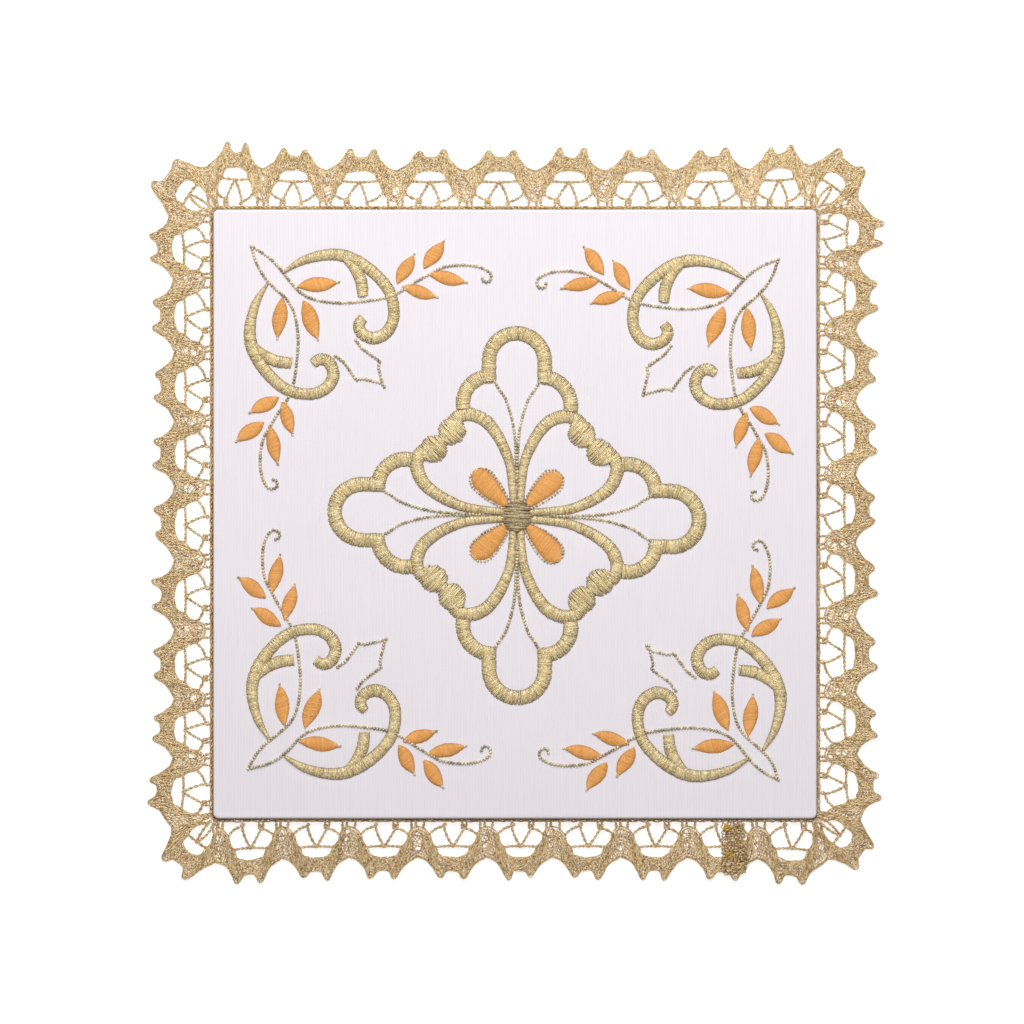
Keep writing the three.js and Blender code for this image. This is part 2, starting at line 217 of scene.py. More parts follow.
@dataclass(frozen=True)
class ClothFinish:
    """Finely ribbed white cloth, with the ribs along Y, with painted shade in the ribs' grooves and down its
    turned edge.
    """

    name: str = "ribbed_white_cloth"
    slot: str = "white_cloth"
    crown: Colour = (0.950, 0.896, 0.938)
    groove: Colour = (0.870, 0.825, 0.875)
    # seam is the colour of a painted shade down the cloth's turned edge, beside the lace, not a colour of the
    # cloth.
    seam: Colour = (0.300, 0.240, 0.210)
    seam_shade: Pair = (3.36 * MM, 3.1 * MM)
    seam_end: Pair = (1.6 * MM, 2.2 * MM)
    rib_pitch: float = 0.8 * MM
    thread_pitch: float = 0.42 * MM
    streak_length: float = 14 * MM
    rib_depth: float = 0.07 * MM

    def material(self) -> bpy.types.Material:
        """Builds the cloth's nodes."""
        material, graph = shader(self.name)
        place = object_place(graph)
        parts = graph.node("ShaderNodeSeparateXYZ", None, {"Vector": place})
        x, y = parts.other("X"), parts.other("Y")
        drift = noise(graph, place, 60.0) * (1.6 * self.rib_pitch)
        ribs = 0.5 + 0.5 * ((x + drift) * (math.tau / self.rib_pitch)).sine()
        picks = 0.5 + 0.5 * ((y + drift) * (math.tau / self.thread_pitch)).sine()
        lanes = graph.vector(x * (1 / self.rib_pitch), y * (1 / self.streak_length))
        streaks = noise(graph, lanes, 1.0, 3.0)
        fibre = noise(graph, place, 5200.0)
        height = ribs * 0.5 + picks * 0.2 + fibre * 0.3
        # Partly painted shade: the colour goes to the darker groove in the troughs of the ribs and picks; the
        # streaks, and the clouds below, vary it at random.
        shade = (ribs * 0.35 + streaks * 0.9 + picks * 0.1).between(0.2, 1.0)
        clouds = noise(graph, place, 22.0).between(0.3, 0.75)
        colour = graph.mix(shade, self.groove, self.crown)
        tinted = graph.mix(clouds * 0.25, colour, self.groove)
        # Painted shade: turned marks the turned edge, from just under the top down the side, and there the
        # colour darkens to seam.
        z = parts.other("Z")
        turned = z.between(*self.seam_shade) * z.between(*self.seam_end)
        shaded = graph.mix(turned, tinted, self.seam)
        looks = {"Base Color": shaded, "Roughness": 0.78 + fibre * 0.15}
        constants = {"Sheen Weight": 0.15, "Sheen Roughness": 0.5, "Specular IOR Level": 0.25}
        surface(graph, height, self.rib_depth, {**looks, **constants})
        return material


@dataclass(frozen=True)
class ThreadFinish:
    """Spun thread that is lighter and darker from stitch to stitch, with painted glints and painted shade at
    the ends of its stitches.
    """

    name: str
    slot: str
    dark: Colour
    light: Colour
    # glint is the colour of painted glints, not of the thread.
    glint: Colour
    # The colour of painted shade at the ends of each stitch, where it sinks into the cloth.
    end_shade: Colour
    metallic: float
    roughness: float
    sheen: float
    glint_share: float
    tone_share: float = 0.5
    spread: float = 0.3
    grain: float = 1500.0
    glint_specks: float = 3000.0
    twist_depth: float = 0.06 * MM

    def material(self) -> bpy.types.Material:
        """Builds the thread's nodes from its tone, its place across a stitch, which paints shade at the
        stitch's ends, and fine noise.
        """
        material, graph = shader(self.name)
        place = object_place(graph)
        grain = noise(graph, place, self.grain)
        glint_specks = noise(graph, place, self.glint_specks, 0.0)
        tone = attribute(graph, "tone")
        mixed = tone * self.tone_share + grain * (1 - self.tone_share)
        shade = mixed.between(0.5 - self.spread, 0.5 + self.spread)
        colour = graph.mix(shade, self.dark, self.light)
        # Painted highlights: where the fine speck noise is high, the colour goes towards glint, by
        # glint_share.
        painted_glints = glint_specks.between(0.54, 0.66) * self.glint_share
        bright = graph.mix(painted_glints, colour, self.glint)
        # Painted shade: towards both ends of each stitch the colour darkens, as if in the hollow where it
        # sinks into the cloth.
        ends = attribute(graph, "across").magnitude() ** 5.0
        shaded_ends = graph.mix(ends * 0.75, bright, self.end_shade)
        looks = {"Base Color": shaded_ends, "Roughness": self.roughness + grain * 0.2 - painted_glints * 0.12}
        constants = {"Metallic": self.metallic, "Sheen Weight": self.sheen, "Sheen Roughness": 0.4}
        surface(graph, grain, self.twist_depth, {**looks, **constants})
        return material


GOLD_SATIN = ThreadFinish(
    name="gold_satin_thread",
    slot="gold_thread",
    dark=(0.490, 0.350, 0.140),
    light=(0.980, 0.785, 0.405),
    glint=(1.000, 0.960, 0.760),
    end_shade=(0.280, 0.215, 0.130),
    metallic=0.2,
    roughness=0.36,
    sheen=0.0,
    glint_share=0.9,
    tone_share=0.4,
    spread=0.26,
    grain=2100.0,
)
DARK_GOLD = ThreadFinish(
    name="dark_gold_thread",
    slot="gold_thread",
    dark=(0.350, 0.285, 0.180),
    light=(0.920, 0.800, 0.550),
    glint=(1.000, 0.950, 0.720),
    end_shade=(0.200, 0.165, 0.110),
    metallic=0.2,
    roughness=0.36,
    sheen=0.0,
    glint_share=0.6,
    tone_share=0.7,
)
BUTTON_GOLD = replace(
    GOLD_SATIN,
    name="button_gold_thread",
    dark=(0.280, 0.195, 0.085),
    light=(0.590, 0.450, 0.225),
    glint_share=0.4,
    tone_share=0.7,
)
ORANGE_SILK = ThreadFinish(
    name="orange_silk_thread",
    slot="orange_thread",
    dark=(0.780, 0.350, 0.080),
    light=(0.960, 0.500, 0.145),
    glint=(1.000, 0.620, 0.260),
    end_shade=(0.420, 0.190, 0.050),
    metallic=0.0,
    roughness=0.45,
    sheen=0.15,
    glint_share=0.35,
)
LACE_GOLD = ThreadFinish(
    name="gold_lace_thread",
    slot="gold_lace",
    dark=(0.360, 0.180, 0.035),
    light=(1.000, 0.760, 0.380),
    glint=(1.000, 0.940, 0.760),
    end_shade=(0.240, 0.140, 0.055),
    metallic=0.22,
    roughness=0.36,
    sheen=0.0,
    glint_share=0.7,
    tone_share=0.6,
    spread=0.26,
    grain=2000.0,
)
KNOT_GOLD = ThreadFinish(
    name="yellow_knot_thread",
    slot="gold_lace",
    dark=(0.330, 0.170, 0.010),
    light=(0.780, 0.480, 0.050),
    glint=(1.000, 0.800, 0.250),
    end_shade=(0.200, 0.100, 0.010),
    metallic=0.35,
    roughness=0.3,
    sheen=0.0,
    glint_share=0.6,
)


# Lines of thread


def linked(name: str, data: bpy.types.ID) -> bpy.types.Object:
    """A new object in the scene."""
    made = bpy.data.objects.new(name, data)
    bpy.context.scene.collection.objects.link(made)
    return made


def smooth_line(rows: Iterable[Iterable[float]], step: float) -> np.ndarray:
    """A smooth curve through rows of numbers, of which the first two are a place.

    Args:
        rows: The points that the curve goes through, each with any further values.
        step: About how far apart the new points are.

    Returns:
        The new rows, with every column smoothed.
    """
    given = np.array(list(rows), float)
    padded = np.vstack([given[0], given, given[-1]])
    made = []
    for before, start, end, after in zip(padded, padded[1:], padded[2:], padded[3:], strict=False):
        count = max(2, math.ceil(math.dist(start[:2], end[:2]) / step))
        t = np.linspace(0, 1, count, endpoint=False)[:, None]
        leave, arrive = (end - before) / 2, (after - start) / 2
        bend = (2 * start - 2 * end + leave + arrive) * t**3
        made.append(bend + (3 * end - 3 * start - 2 * leave - arrive) * t**2 + leave * t + start)
    return np.vstack([*made, given[-1:]])


def even_line(points: np.ndarray, count: int) -> np.ndarray:
    """A line's points again, at equal distances along it."""
    steps = np.hypot(*np.diff(points[:, :2], axis=0).T)
    run = np.concatenate([[0], np.cumsum(steps)])
    stops = np.linspace(0, run[-1], count)
    return np.column_stack([np.interp(stops, run, column) for column in points.T])


def across_of(points: np.ndarray) -> np.ndarray:
    """The level direction to the left of a line, at each of its points."""
    along = np.gradient(points[:, :2], axis=0)
    along /= np.maximum(np.hypot(*along.T), 1e-9)[:, None]
    return np.column_stack([-along[:, 1], along[:, 0]])


@dataclass
class ThreadLines:
    """Lines of thread in millimetres, with a number of each kind at every point."""

    kinds: tuple[str, ...]
    points: list[np.ndarray] = field(default_factory=list)
    edges: list[np.ndarray] = field(default_factory=list)
    numbers: dict[str, list[np.ndarray]] = field(default_factory=dict)
    total: int = 0

    def add(self, line: np.ndarray, height: np.ndarray | float, **numbers: np.ndarray | float) -> None:
        """Adds one open line.

        Args:
            line: The places seen from above.
            height: The height at every point, or one for all.
            numbers: The numbers of each kind, one for each point or one for all.
        """
        count = len(line)
        flat = np.asarray(line, float)[:, :2]
        self.points.append(np.column_stack([flat, np.broadcast_to(height, count)]))
        order = np.arange(self.total, self.total + count)
        self.edges.append(np.column_stack([order[:-1], order[1:]]))
        for kind in self.kinds:
            row = np.broadcast_to(np.asarray(numbers[kind], float), count)
            self.numbers.setdefault(kind, []).append(row)
        self.total += count

    def as_object(self, name: str) -> bpy.types.Object:
        """The lines as a mesh of edges, in metres, with a point attribute for each kind."""
        mesh = bpy.data.meshes.new(name)
        places = np.vstack(self.points) * MM
        mesh.from_pydata(places.tolist(), np.vstack(self.edges).tolist(), [])
        for kind, rows in self.numbers.items():
            made = mesh.attributes.new(kind, "FLOAT", "POINT")
            made.data.foreach_set("value", np.concatenate(rows).astype(np.float32))
        return linked(name, mesh)


# Geometry Nodes


class Recipe:
    """A Geometry Nodes tree with named inputs that turns lines of thread into a plain mesh."""

    def __init__(self, name: str, sizes: Iterable[str]) -> None:
        """Names the tree and its inputs.

        Args:
            name: The tree's name.
            sizes: The names of the inputs that are numbers. One called Seed is a whole number.
        """
        self.tree = bpy.data.node_groups.new(name, "GeometryNodeTree")
        self.graph = Graph(self.tree)
        kinds = {"Lines": "Geometry"}
        kinds.update({size: "Int" if size == "Seed" else "Float" for size in sizes})
        kinds["Material"] = "Material"
        sockets = self.tree.interface
        self.keys = {}
        for given, kind in kinds.items():
            made = sockets.new_socket(given, in_out="INPUT", socket_type="NodeSocket" + kind)
            self.keys[given] = made.identifier
        sockets.new_socket("Pieces", in_out="OUTPUT", socket_type="NodeSocketGeometry")
        self.entry = self.graph.node("NodeGroupInput")

    def given(self, name: str) -> Value:
        """One of the tree's inputs."""
        return self.entry.other(name)

    def number(self, name: str) -> Value:
        """A number that the lines carry."""
        return self.graph.node("GeometryNodeInputNamedAttribute", None, {"Name": name})

    def chance(self, low: float, high: float, turn: int) -> Value:
        """A random number for each point, from the tree's seed."""
        seed = self.given("Seed") + float(turn)
        inputs = {"Min": low, "Max": high, "Seed": seed}
        return self.graph.node("FunctionNodeRandomValue", {"data_type": "FLOAT"}, inputs)

    def curves(self) -> Value:
        """The lines as curves."""
        return self.graph.node("GeometryNodeMeshToCurve", None, {"Mesh": self.given("Lines")})

    def tube(self, curve: Value, radius: Value | float, sides: int, girth: Value | float) -> Value:
        """A smooth tube along a curve, closed at both ends."""
        ring = {"Resolution": sides, "Radius": radius}
        profile = self.graph.node("GeometryNodeCurvePrimitiveCircle", {"mode": "RADIUS"}, ring)
        inputs = {"Curve": curve, "Profile Curve": profile, "Scale": girth, "Fill Caps": True}
        skin = self.graph.node("GeometryNodeCurveToMesh", None, inputs)
        return self.graph.node("GeometryNodeSetShadeSmooth", None, {"Geometry": skin})

    def rod(self, start: Vector, end: Vector, count: int) -> Value:
        """A straight curve with evenly spaced points."""
        line = self.graph.node("GeometryNodeCurvePrimitiveLine", None, {"Start": start, "End": end})
        inputs = {"Curve": line, "Count": count}
        return self.graph.node("GeometryNodeResampleCurve", {"mode": "COUNT"}, inputs)

    def lay(self, stitch: Value, slant: Value, scale: Value) -> Value:
        """Copies of one stitch at even steps along the curves, turned with them, each with a tone.

        Args:
            stitch: The stitch that is copied.
            slant: The turn of each copy about the vertical.
            scale: The size of each copy.

        Returns:
            The copies.
        """
        graph = self.graph
        steps = {"Curve": self.curves(), "Length": self.given("Pitch")}
        rows = graph.node("GeometryNodeResampleCurve", {"mode": "LENGTH"}, steps)
        heading = {"Vector": graph.node("GeometryNodeInputTangent")}
        level = {"axis": "X", "pivot_axis": "Z"}
        facing = graph.node("FunctionNodeAlignRotationToVector", level, heading)
        turn = graph.node("FunctionNodeEulerToRotation", None, {"Euler": graph.vector(z=slant)})
        both = {"Rotation": facing, "Rotate By": turn}
        turned = graph.node("FunctionNodeRotateRotation", {"rotation_space": "LOCAL"}, both)
        inputs = {"Points": rows, "Instance": stitch, "Rotation": turned, "Scale": scale}
        laid = graph.node("GeometryNodeInstanceOnPoints", None, inputs)
        tone = {"Geometry": laid, "Name": "tone", "Value": self.chance(0.0, 1.0, 1)}
        domain = {"data_type": "FLOAT", "domain": "INSTANCE"}
        return graph.node("GeometryNodeStoreNamedAttribute", domain, tone)

    def close(self, pieces: Value) -> None:
        """Ends the tree in one mesh with the given material."""
        whole = self.graph.node("GeometryNodeRealizeInstances", None, {"Geometry": pieces})
        inputs = {"Geometry": whole, "Material": self.given("Material")}
        dressed = self.graph.node("GeometryNodeSetMaterial", None, inputs)
        self.graph.node("NodeGroupOutput", None, {"Pieces": dressed})

    def make(
        self, name: str, lines: ThreadLines, finish: bpy.types.Material, sizes: dict
    ) -> bpy.types.Object:
        """Runs the tree on some lines.

        Args:
            name: The new piece's name.
            lines: The lines of thread.
            finish: The material that the piece gets.
            sizes: A number for each of the tree's inputs, in metres where it is a length.

        Returns:
            The piece as a plain mesh object.
        """
        drawn = lines.as_object(name + "_lines")
        modifier = drawn.modifiers.new(self.tree.name, "NODES")
        modifier.node_group = self.tree
        for given, number in {**sizes, "Material": finish}.items():
            modifier[self.keys[given]] = number
        grown = drawn.evaluated_get(bpy.context.evaluated_depsgraph_get())
        mesh = bpy.data.meshes.new_from_object(grown)
        drawn.modifiers.remove(modifier)
        bpy.data.objects.remove(drawn)
        mesh.name = name
        return linked(name, mesh)


class SatinRecipe(Recipe):
    """Padded satin stitch: threads side by side across a line, each arched over its width."""

    RINGS = 6
    SIDES = 4

    def __init__(self) -> None:
        """Builds the tree. Lines carry half_width and slant."""
        super().__init__("satin_stitch", ["Pitch", "Thread", "Rise", "Sink", "Fray", "Sway", "Seed"])
        graph = self.graph
        rod = self.rod(Vector((0, -1, 0)), Vector((0, 1, 0)), self.RINGS)
        place = graph.node("ShaderNodeSeparateXYZ", None, {"Vector": graph.node("GeometryNodeInputPosition")})
        share = place.other("Y")
        kept = {"Geometry": rod, "Name": "across", "Value": share}
        marked = graph.node("GeometryNodeStoreNamedAttribute", {"domain": "POINT"}, kept)
        lift = (1.0 - share.magnitude() ** 3.2) * self.given("Rise") - self.given("Sink")
        raised = {"Geometry": marked, "Offset": graph.vector(z=lift)}
        arch = graph.node("GeometryNodeSetPosition", None, raised)
        stitch = self.tube(arch, self.given("Thread"), self.SIDES, 1.0)
        fray = 1.0 + self.chance(-1.0, 1.0, 2) * self.given("Fray")
        slant = self.number("slant") + self.chance(-1.0, 1.0, 3) * self.given("Sway")
        scale = graph.vector(1.0, self.number("half_width") * fray, self.chance(0.86, 1.0, 4))
        self.close(self.lay(stitch, slant, scale))


class StemRecipe(Recipe):
    """Stem stitch: short slanted stitches that lie half beside each other along a line."""

    RINGS = 5
    SIDES = 4

    def __init__(self) -> None:
        """Builds the tree. Lines carry slant."""
        super().__init__("stem_stitch", ["Pitch", "Thread", "Length", "Bow", "Sway", "Seed"])
        graph = self.graph
        rod = self.rod(Vector((-0.5, 0, 0)), Vector((0.5, 0, 0)), self.RINGS)
        share = graph.node("GeometryNodeSplineParameter")
        swell = (share * math.pi).sine()
        lift = graph.vector(z=swell * self.given("Bow"))
        bowed = graph.node("GeometryNodeSetPosition", None, {"Geometry": rod, "Offset": lift})
        stitch = self.tube(bowed, self.given("Thread"), self.SIDES, 0.12 + 0.88 * swell)
        slant = self.number("slant") + self.chance(-1.0, 1.0, 2) * self.given("Sway")
        scale = graph.vector(self.given("Length") * self.chance(0.85, 1.1, 3), 1.0, 1.0)
        self.close(self.lay(stitch, slant, scale))


class LaceRecipe(Recipe):
    """Plain tubes of thread along lines that carry a girth and a tone."""

    SIDES = 4

    def __init__(self) -> None:
        """Builds the tree."""
        super().__init__("lace_thread", ["Thread"])
        self.close(self.tube(self.curves(), self.given("Thread"), self.SIDES, self.number("girth")))


# The cloth


@dataclass
class Panel:
    """The stiff square and its cloth cover, with the edges turned under."""

    half_x: float
    half_y: float
    thickness: float
    corner: float = 1.5
    edge: float = 0.7
    spacing: float = 1.25
    pucker: float = 0.16
    pucker_reach: float = 1.7
    swell: float = 0.10
    finish: ClothFinish = field(default_factory=ClothFinish)

    EDGE_SHARES = (0.30, 0.45, 0.62, 0.78, 0.88, 0.94, 0.98, 1.0)

    def stops(self, half: float) -> np.ndarray:
        """Where the cover's grid lines are, close together at the turned edge."""
        straight = half - self.corner
        middle = np.linspace(-straight, straight, round(2 * straight / self.spacing) + 1)
        border = straight + self.corner * np.array(self.EDGE_SHARES)
        return np.concatenate([-border[::-1], middle, border])

    def grid(self) -> tuple[np.ndarray, np.ndarray, np.ndarray]:
        """The cover's points seen from above, and how far each is inside the outline."""
        x, y = np.meshgrid(self.stops(self.half_x), self.stops(self.half_y), indexing="ij")
        over_x = np.maximum(np.abs(x) - self.half_x + self.corner, 0) / self.corner
        over_y = np.maximum(np.abs(y) - self.half_y + self.corner, 0) / self.corner
        round_x = over_x * np.sqrt(1 - over_y**2 / 2)
        round_y = over_y * np.sqrt(1 - over_x**2 / 2)
        x += np.sign(x) * self.corner * (round_x - over_x)
        y += np.sign(y) * self.corner * (round_y - over_y)
        return x, y, self.corner * (1 - np.hypot(round_x, round_y))

    def top_height(self, x: np.ndarray, y: np.ndarray, lines: np.ndarray) -> np.ndarray:
        """The cloth's height over the panel, drawn down beside the stitching.

        Args:
            x: Places along X.
            y: Places along Y.
            lines: Points on the satin bands.

        Returns:
            How far the cloth is from flat at each place.
        """
        places = np.column_stack([x.ravel(), y.ravel()])
        nearest = np.full(len(places), np.inf)
        for block in np.array_split(lines, max(1, len(lines) // 60)):
            apart = np.hypot(*(places[:, None, :] - block[None, :, :]).transpose(2, 0, 1))
            nearest = np.minimum(nearest, apart.min(axis=1))
        drawn = -self.pucker * np.exp(-((nearest.reshape(x.shape) / self.pucker_reach) ** 2))
        loose = np.sin(x / 23 + 1.3) * np.sin(y / 19 + 0.4) + 0.6 * np.sin(x / 9 + y / 13)
        return drawn + self.swell * (loose - 1) / 2

    def build(self, lines: np.ndarray) -> bpy.types.Object:
        """Makes the cover as one closed mesh.

        Args:
            lines: Points on the satin bands, beside which the cloth is drawn down.

        Returns:
            The cover.
        """
        x, y, inside = self.grid()
        short = np.maximum(self.edge - np.maximum(inside, 0), 0)
        drop = self.edge - np.sqrt(np.maximum(self.edge**2 - short**2, 0))
        ease = np.clip(inside / self.corner, 0, 1)
        top = self.thickness - drop + ease * self.top_height(x, y, lines)
        columns, rows = x.shape
        layers = [np.column_stack([x.ravel(), y.ravel(), z.ravel()]) for z in (top, drop)]
        order = np.arange(columns * rows).reshape(columns, rows)
        around = [order[:-1, :-1], order[1:, :-1], order[1:, 1:], order[:-1, 1:]]
        quads = np.stack(around, axis=-1).reshape(-1, 4)
        rim = np.concatenate([order[:-1, 0], order[-1, :-1], order[:0:-1, -1], order[0, :0:-1]])
        ahead = np.roll(rim, -1)
        under = columns * rows
        wall = np.column_stack([rim + under, ahead + under, ahead, rim])
        faces = np.vstack([quads, quads[:, ::-1] + under, wall])
        mesh = bpy.data.meshes.new("pall_cover")
        mesh.from_pydata((np.vstack(layers) * MM).tolist(), [], faces.tolist())
        mesh.shade_smooth()
        mesh.materials.append(self.finish.material())
        return linked("pall_cover", mesh)


# The stitching


@dataclass(frozen=True)
class Satin:
    """One form in satin stitch: a middle line with widths, and the slant of its stitches."""

    rows: np.ndarray
    slant: float = 0.0
    lift: float = 0.0


def disc(centre: Pair, radius: float, heading: float) -> np.ndarray:
    """The middle line of a round form, with its width at each point."""
    share = np.linspace(-0.97, 0.97, 25)
    line = np.array(centre) + radius * share[:, None] * np.array([math.cos(heading), math.sin(heading)])
    return np.column_stack([line, 2 * radius * np.sqrt(1 - share**2)])


@dataclass(frozen=True)
class LeafForm:
    """Where along a leaf its widest place is, and how its ends close: a power of a half is round."""

    widest: float
    start_power: float
    end_power: float


LEAF_FORM = LeafForm(0.5, 0.8, 0.8)
PETAL_FORM = LeafForm(0.77, 1.0, 0.5)


def leaf(start: Pair, end: Pair, width: float, form: LeafForm = LEAF_FORM) -> np.ndarray:
    """The middle line of a leaf or petal, with its width at each point."""
    share = np.linspace(0.02, 0.985, 27)
    line = np.array(start) + share[:, None] * (np.array(end) - np.array(start))
    opening = share < form.widest
    rise = np.where(opening, share / form.widest, (1 - share) / (1 - form.widest))
    power = np.where(opening, form.start_power, form.end_power)
    return np.column_stack([line, width * np.sin(rise * math.pi / 2) ** power])


def arc(centre: Pair, radius: float, start: float, end: float, width: float) -> np.ndarray:
    """Points on an arc, from one angle to another in degrees, with one width."""
    angle = np.radians(np.linspace(start, end, 25))
    x, y = centre[0] + radius * np.cos(angle), centre[1] + radius * np.sin(angle)
    return np.column_stack([x, y, np.full(len(angle), width)])


@dataclass
class Medallion:
    """The four-armed flower in the middle, drawn for the arm that points to +Y."""

    x: float = 0.5
    y: float = -0.4
    lean: float = -0.022
    lobe_radius: float = 7.4
    lobe_centre: float = 40.9
    lobe_foot: float = 35.6
    shoulder: Pair = (-6.9, 29.4)
    shoulder_radius: float = 7.4
    shoulder_arc: Pair = (88, 190)
    band: float = 3.9
    bead_radius: float = 3.6
    bead_distance: float = 27.7
    bead_spread: float = 3.4
    button_radius: float = 4.1
    bead_lift: float = 0.12
    button_lift: float = 0.6
    petal_start: float = 1.8
    petal_length: float = 14.5
    petal_width: float = 5.9
    petal_slant: float = 0.15
    outline_gap: float = 0.28
    outline_start: int = 5

    QUARTER_BAND = (
        (-17.4, 22.0, 3.4),
        (-16.6, 25.0, 3.6),
        (-13.3, 26.6, 3.6),
        (-8.9, 25.3, 3.5),
        (-5.8, 22.1, 3.2),
        (-3.4, 17.8, 2.9),
        (-1.7, 12.6, 2.5),
        (-0.9, 3.5, 1.9),
    )
    VEIN = ((-5.9, 35.4), (-4.6, 33.2), (-2.9, 30.6), (-1.2, 25.0), (-0.5, 20.5), (-0.2, 15.0), (0.0, 9.0))

    def place(self, quarter: int, mirrored: bool) -> Place:
        """Turns an arm's drawing to one of the four quarters.

        Args:
            quarter: The quarter, counted anticlockwise.
            mirrored: If the drawing is mirrored first.

        Returns:
            What moves rows of the drawing to their places.
        """
        turn = quarter * math.pi / 2

        def placed(rows: np.ndarray) -> np.ndarray:
            """Moves the first two columns and keeps the rest."""
            x, y = rows[:, 0] * (-1 if mirrored else 1), rows[:, 1]
            turned_x = x * math.cos(turn) - y * math.sin(turn)
            turned_y = x * math.sin(turn) + y * math.cos(turn)
            moved = [self.x + turned_x, self.y + turned_y + self.lean * turned_x]
            return np.column_stack([*moved, rows[:, 2:]])

        return placed

    def places(self) -> Iterator[Place]:
        """Every quarter, as drawn and mirrored."""
        for quarter in range(4):
            for mirrored in (False, True):
                yield self.place(quarter, mirrored)

    def satin(self) -> list[Satin]:
        """The bands and beads in gold."""
        foot = np.array([[self.lobe_radius, self.lobe_foot, self.band]])
        lobe = arc((0, self.lobe_centre), self.lobe_radius, 180, 0, self.band)
        arch = np.vstack([foot * [-1, 1, 1], lobe, foot])
        shoulder = arc(self.shoulder, self.shoulder_radius, *self.shoulder_arc, self.band)
        near, far = self.bead_spread - self.bead_distance, self.bead_spread + self.bead_distance
        bead = disc((near * ROOT_HALF, far * ROOT_HALF), self.bead_radius, math.pi / 4)
        half_arm = [shoulder, smooth_line(self.QUARTER_BAND, 0.6)]
        drawn = [self.place(quarter, False)(arch) for quarter in range(4)]
        drawn += [place(rows) for place in self.places() for rows in half_arm]
        beads = [Satin(place(bead), lift=self.bead_lift) for place in self.places()]
        return [*(Satin(rows) for rows in drawn), *beads]

    def button(self) -> list[Satin]:
        """The round button in the middle."""
        rows = disc((0, 0), self.button_radius, math.pi / 2)
        return [Satin(self.place(0, False)(rows), lift=self.button_lift)]

    def petals(self) -> list[Satin]:
        """The four orange petals."""
        start, end = (ROOT_HALF * r for r in (self.petal_start, self.petal_start + self.petal_length))
        petal = leaf((-start, start), (-end, end), self.petal_width, PETAL_FORM)
        return [Satin(self.place(quarter, False)(petal), self.petal_slant) for quarter in range(4)]

    def petal_outlines(self) -> list[np.ndarray]:
        """The running stitch round each petal."""
        lines = []
        for petal in self.petals():
            rows = petal.rows[self.outline_start :]
            reach = rows[:, 2:] / 2 + self.outline_gap
            left = rows[:, :2] + across_of(rows) * reach
            right = rows[:, :2] - across_of(rows) * reach
            lines.append(np.vstack([left, right[::-1]]))
        return lines

    def veins(self) -> list[np.ndarray]:
        """The thin lines inside each arm."""
        return [place(smooth_line(self.VEIN, 0.5)) for place in self.places()]


@dataclass(frozen=True)
class Corner:
    """Where one corner spray's tip is, and how far each half is moved.

    Each half has a shift in from the panel's edge that it follows and a push away from the tip.
    """

    side: int
    end: int
    x: float
    y: float
    edge: Pair
    flank: Pair

    FULL_PUSH_TO = 38.0
    HALF_PUSH_FROM = 48.0

    def place(self, mirrored: bool, ease: float = 0.01) -> Place:
        """Puts half a spray along the panel's upper or lower edge, or mirrored along its side.

        Args:
            mirrored: Whether the half runs along the side.
            ease: How far from the tip the half's own shift and push are reached.

        Returns:
            A function that places rows of points.
        """
        shift, push = self.flank if mirrored else self.edge

        def placed(rows: np.ndarray) -> np.ndarray:
            """Moves the first two columns and keeps the rest."""
            start = np.clip(rows[:, 0] / ease, 0, 1)
            beyond = (rows[:, 0] - self.FULL_PUSH_TO) / (self.HALF_PUSH_FROM - self.FULL_PUSH_TO)
            along = rows[:, 0] + push * start * (1 - np.clip(beyond, 0, 1) / 2)
            away = rows[:, 1] + shift * start
            x = self.x - self.side * (away if mirrored else along)
            y = self.y - self.end * (along if mirrored else away)
            return np.column_stack([x, y, rows[:, 2:]])

        return placed


